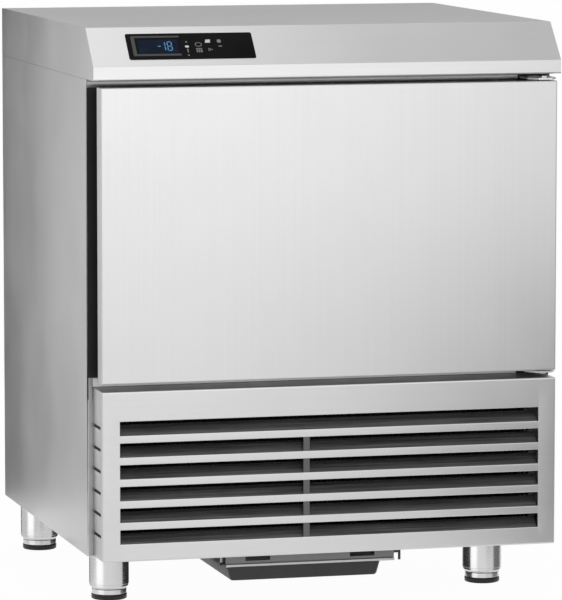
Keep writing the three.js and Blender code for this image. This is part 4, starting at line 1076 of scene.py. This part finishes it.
def make_gland():
    """Cable gland: lock nut behind the back panel, neck through it, hexagon and fluted cap outside."""
    centre = (GLAND_X, 0.0, GLAND_Z)
    gland = Shape()
    nut, inside, outside, front, end = 338.0, 343.2, 344.6, 349.4, 360.3
    gland.lathe([(CORE, nut), (10.2, nut), (10.2, inside), (CORE, inside)], centre, "Y", 6)
    gland.lathe([(CORE, inside), (7.6, inside), (7.6, outside), (CORE, outside)], centre, "Y", 32)
    gland.lathe([(CORE, outside), (11.4, outside), (11.4, front - 0.8), (10.6, front), (CORE, front)],
                centre, "Y", 6)
    cap = ((CORE, front, 0), (9.8, front, 0), (10.1, 350.0, 1), (10.1, 355.6, 1), (8.8, 358.4, 0),
           (6.8, end, 0), (5.2, end, 0), (4.8, 359.4, 0), (4.6, 352.0, 0), (CORE, 352.0, 0))
    steps, flute, flute_depth = 48, 3, 0.94
    rings = []
    for radius, depth, fluted in cap:
        outs = [radius * (flute_depth if fluted and k % flute == 0 else 1.0) for k in range(steps)]
        rings.append([(GLAND_X + r * math.cos(t), depth, GLAND_Z + r * math.sin(t))
                      for r, t in zip(outs, full_turn(steps))])
    gland.loft(rings)
    gland.make("cable_gland", "cabinet", PLASTIC_SLOT, MATERIALS["black_plastic"], ["power_inlet_gland"],
               angle=30)


def make_weld():
    """Seam round the compressor's shell."""
    x, y = COMPRESSOR_AT
    section = [(84.0, 203.0), (86.4, 203.6), (87.0, 205.0), (86.4, 206.4), (84.0, 207.0)]
    rings = [[(x + r * math.cos(t), y + r * math.sin(t), z) for t in full_turn(96)] for r, z in section]
    Shape().loft(rings, close=True).make(
        "compressor_weld", "cabinet", "black_enamel", MATERIALS["black_enamel"], angle=50)


make_seal()
make_inner_pan()
make_all_screws()
make_hinge_bolts()
make_fan_bead()
make_strainer()
make_gland()
make_weld()


# -------------------- camera, light and floor
IMAGE_H = 600
SENSOR = 36.0
FOCAL_PX = 4607.0
FAR_CLIP = 200
CAMERA_AT = Vector((-1.8891, -7.2232, 1.2836))
CAMERA_YAW = math.radians(14.775)
CAMERA_DOWN = math.radians(6.372)
WORLD_FILL = 0.75
FLOOR_SIZE = 120.0
FLOOR_GLOW = 0.97
CARD_TOP = 0.078
# Name, place, point it faces, size, and level, where 1 is as bright as the white world
LAMPS = (
    ("key_front", (-0.12, -2.6, 1.13), (-0.07, -0.37, 0.72), (2.2, 1.7), 0.65),
    ("top_left", (-0.55, -0.6, 2.7), (-0.4, -0.4, 0.9), (1.3, 1.5), 0.38),
)
FLAGS = (
    ("flag_front_right", (1.4, -1.5, -0.15), (1.4, 0, -0.15), (1.6, 1.0), 0.1),
    ("flag_back_low", (-0.5, 0.85, 0.55), (-0.5, 0.0, 0.55), (0.3, 1.1), 0.0),
    ("flag_floor_back", (-1.1, 1.3, 0.004), (-1.1, 1.3, -1.0), (1.4, 2.8), 0.75),
    ("flag_floor_right", (1.15, -1.5, 0.004), (1.15, -1.5, -1.0), (1.5, 1.8), 0.3),
    ("flag_back_high", (0.25, 1.05, 1.6), (0.25, 0.0, 1.6), (2.8, 1.4), 0.5),
    ("flag_top_right", (1.15, -0.6, 2.6), (1.15, -0.6, 0.0), (1.5, 1.6), 0.66),
    ("flag_right", (2.0, -0.2, 0.9), (0.4, -0.3, 0.5), (2.2, 2.4), 0.4),
    ("flag_left", (-2.4, -1.2, 0.7), (-0.3, -0.2, 0.3), (0.9, 1.8), 0.35),
)


def add_camera():
    """The photograph's camera, as fitted to the object's edges."""
    data = bpy.data.cameras.new("photo_camera")
    data.sensor_fit = "AUTO"
    data.sensor_width = SENSOR
    data.lens = FOCAL_PX * SENSOR / IMAGE_H
    data.clip_end = FAR_CLIP
    camera = add_object("photo_camera", data)
    camera.location = CAMERA_AT
    camera.rotation_euler = (math.pi / 2 - CAMERA_DOWN, 0, -CAMERA_YAW)
    bpy.context.scene.camera = camera


def seen_rays(tree):
    """1 for camera, glossy and transmission rays, else 0."""
    path = tree.nodes.new("ShaderNodeLightPath")
    most = path.outputs["Is Camera Ray"]
    for key in ("Is Glossy Ray", "Is Transmission Ray"):
        pick = tree.nodes.new("ShaderNodeMath")
        pick.operation = "MAXIMUM"
        tree.links.new(most, pick.inputs[0])
        tree.links.new(path.outputs[key], pick.inputs[1])
        most = pick.outputs["Value"]
    return most


def add_world():
    """White where it is seen or mirrored; its light on matt surfaces is the fill."""
    world = bpy.data.worlds.new("studio")
    bpy.context.scene.world = world
    world.use_nodes = True
    tree = world.node_tree
    background = tree.nodes["Background"]
    set_inputs(background, Color=WHITE)
    level = tree.nodes.new("ShaderNodeMapRange")
    set_inputs(level, To_Min=WORLD_FILL, To_Max=1.0)
    tree.links.new(seen_rays(tree), level.inputs["Value"])
    tree.links.new(level.outputs["Result"], background.inputs["Strength"])


def turned_to(at, aim, axis):
    """Rotation that points the axis from one place at another."""
    return (Vector(aim) - Vector(at)).to_track_quat(axis, "Y").to_euler()


def add_board(name, size):
    """Flat board of the stage, with a material of its own; the board and the material's tree."""
    w, h = size[0] / 2, size[1] / 2
    mesh = bpy.data.meshes.new(name)
    mesh.from_pydata([(-w, -h, 0), (w, -h, 0), (w, h, 0), (-w, h, 0)], [], [(0, 1, 2, 3)])
    board = add_object(name, mesh)
    material = bpy.data.materials.new(name)
    material.use_nodes = True
    mesh.materials.append(material)
    return board, material.node_tree


def add_floor():
    """A pale floor that shows white where nothing shades it."""
    tree = add_board("studio_floor", (FLOOR_SIZE, FLOOR_SIZE))[1]
    matt = tree.nodes["Principled BSDF"]
    set_inputs(matt, Base_Color=(0.9, 0.9, 0.9, 1), Roughness=0.9, Specular_IOR_Level=0.0)
    lit = tree.nodes.new("ShaderNodeEmission")
    set_inputs(lit, Strength=1.0)
    share = tree.nodes.new("ShaderNodeMath")
    share.operation = "MULTIPLY"
    share.inputs[1].default_value = FLOOR_GLOW
    mix = tree.nodes.new("ShaderNodeMixShader")
    tree.links.new(seen_rays(tree), share.inputs[0])
    tree.links.new(share.outputs["Value"], mix.inputs["Fac"])
    tree.links.new(matt.outputs["BSDF"], mix.inputs[1])
    tree.links.new(lit.outputs["Emission"], mix.inputs[2])
    tree.links.new(mix.outputs["Shader"], tree.nodes["Material Output"].inputs["Surface"])


def add_lamp(name, at, aim, size, level):
    """Soft box; its level adds to that of the world behind it."""
    data = bpy.data.lights.new(name, "AREA")
    data.shape = "RECTANGLE"
    data.size, data.size_y = size
    data.energy = level * math.pi * size[0] * size[1]
    lamp = add_object(name, data)
    lamp.location = at
    lamp.rotation_euler = turned_to(at, aim, "-Z")


def add_flag(name, at, aim, size, level):
    """Grey board beside the camera's view that only reflections see, as a studio's flags are."""
    flag, tree = add_board(name, size)
    flag.location = at
    flag.rotation_euler = turned_to(at, aim, "Z")
    for ray in ("camera", "diffuse", "transmission", "volume_scatter", "shadow"):
        setattr(flag, f"visible_{ray}", False)
    set_inputs(tree.nodes["Principled BSDF"], Base_Color=BLACK, Specular_IOR_Level=0.0,
               Emission_Color=WHITE, Emission_Strength=level)


def add_leg_cards(corner):
    """Strips beside each leg, as a studio sets them to draw the bands of a polished tube."""
    low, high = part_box(f"leg_sleeve_{corner}")
    x, y = (low[0] + high[0]) / 2, (low[1] + high[1]) / 2
    inward = -math.copysign(1, x)
    front, back = -0.045 if x < 0 else -0.02, 0.17
    rows = [
        ("dark", (inward * 0.07, (front + back) / 2), (inward, 0), back - front, 0.03),
        ("back", (-0.03, 0.12), (0, 1), 0.12, 0.25),
        ("bright", (-0.12, -0.062), (0.12, 0.062), 0.095, 1.6),
    ]
    if x > 0:
        rows.append(("edge", (0.08, -0.036), (1, 0), 0.085, 0.22))
    for name, (dx, dy), facing, width, level in rows:
        at = Vector((x + dx, y + dy, CARD_TOP / 2))
        add_flag(f"card_{name}_{corner}", at, at + Vector((*facing, 0)), (width, CARD_TOP), level)


add_camera()
add_world()
add_floor()
for lamp in LAMPS:
    add_lamp(*lamp)
for flag in FLAGS:
    add_flag(*flag)
for corner in CORNERS:
    add_leg_cards(corner)
bpy.context.scene.view_settings.view_transform = "Standard"
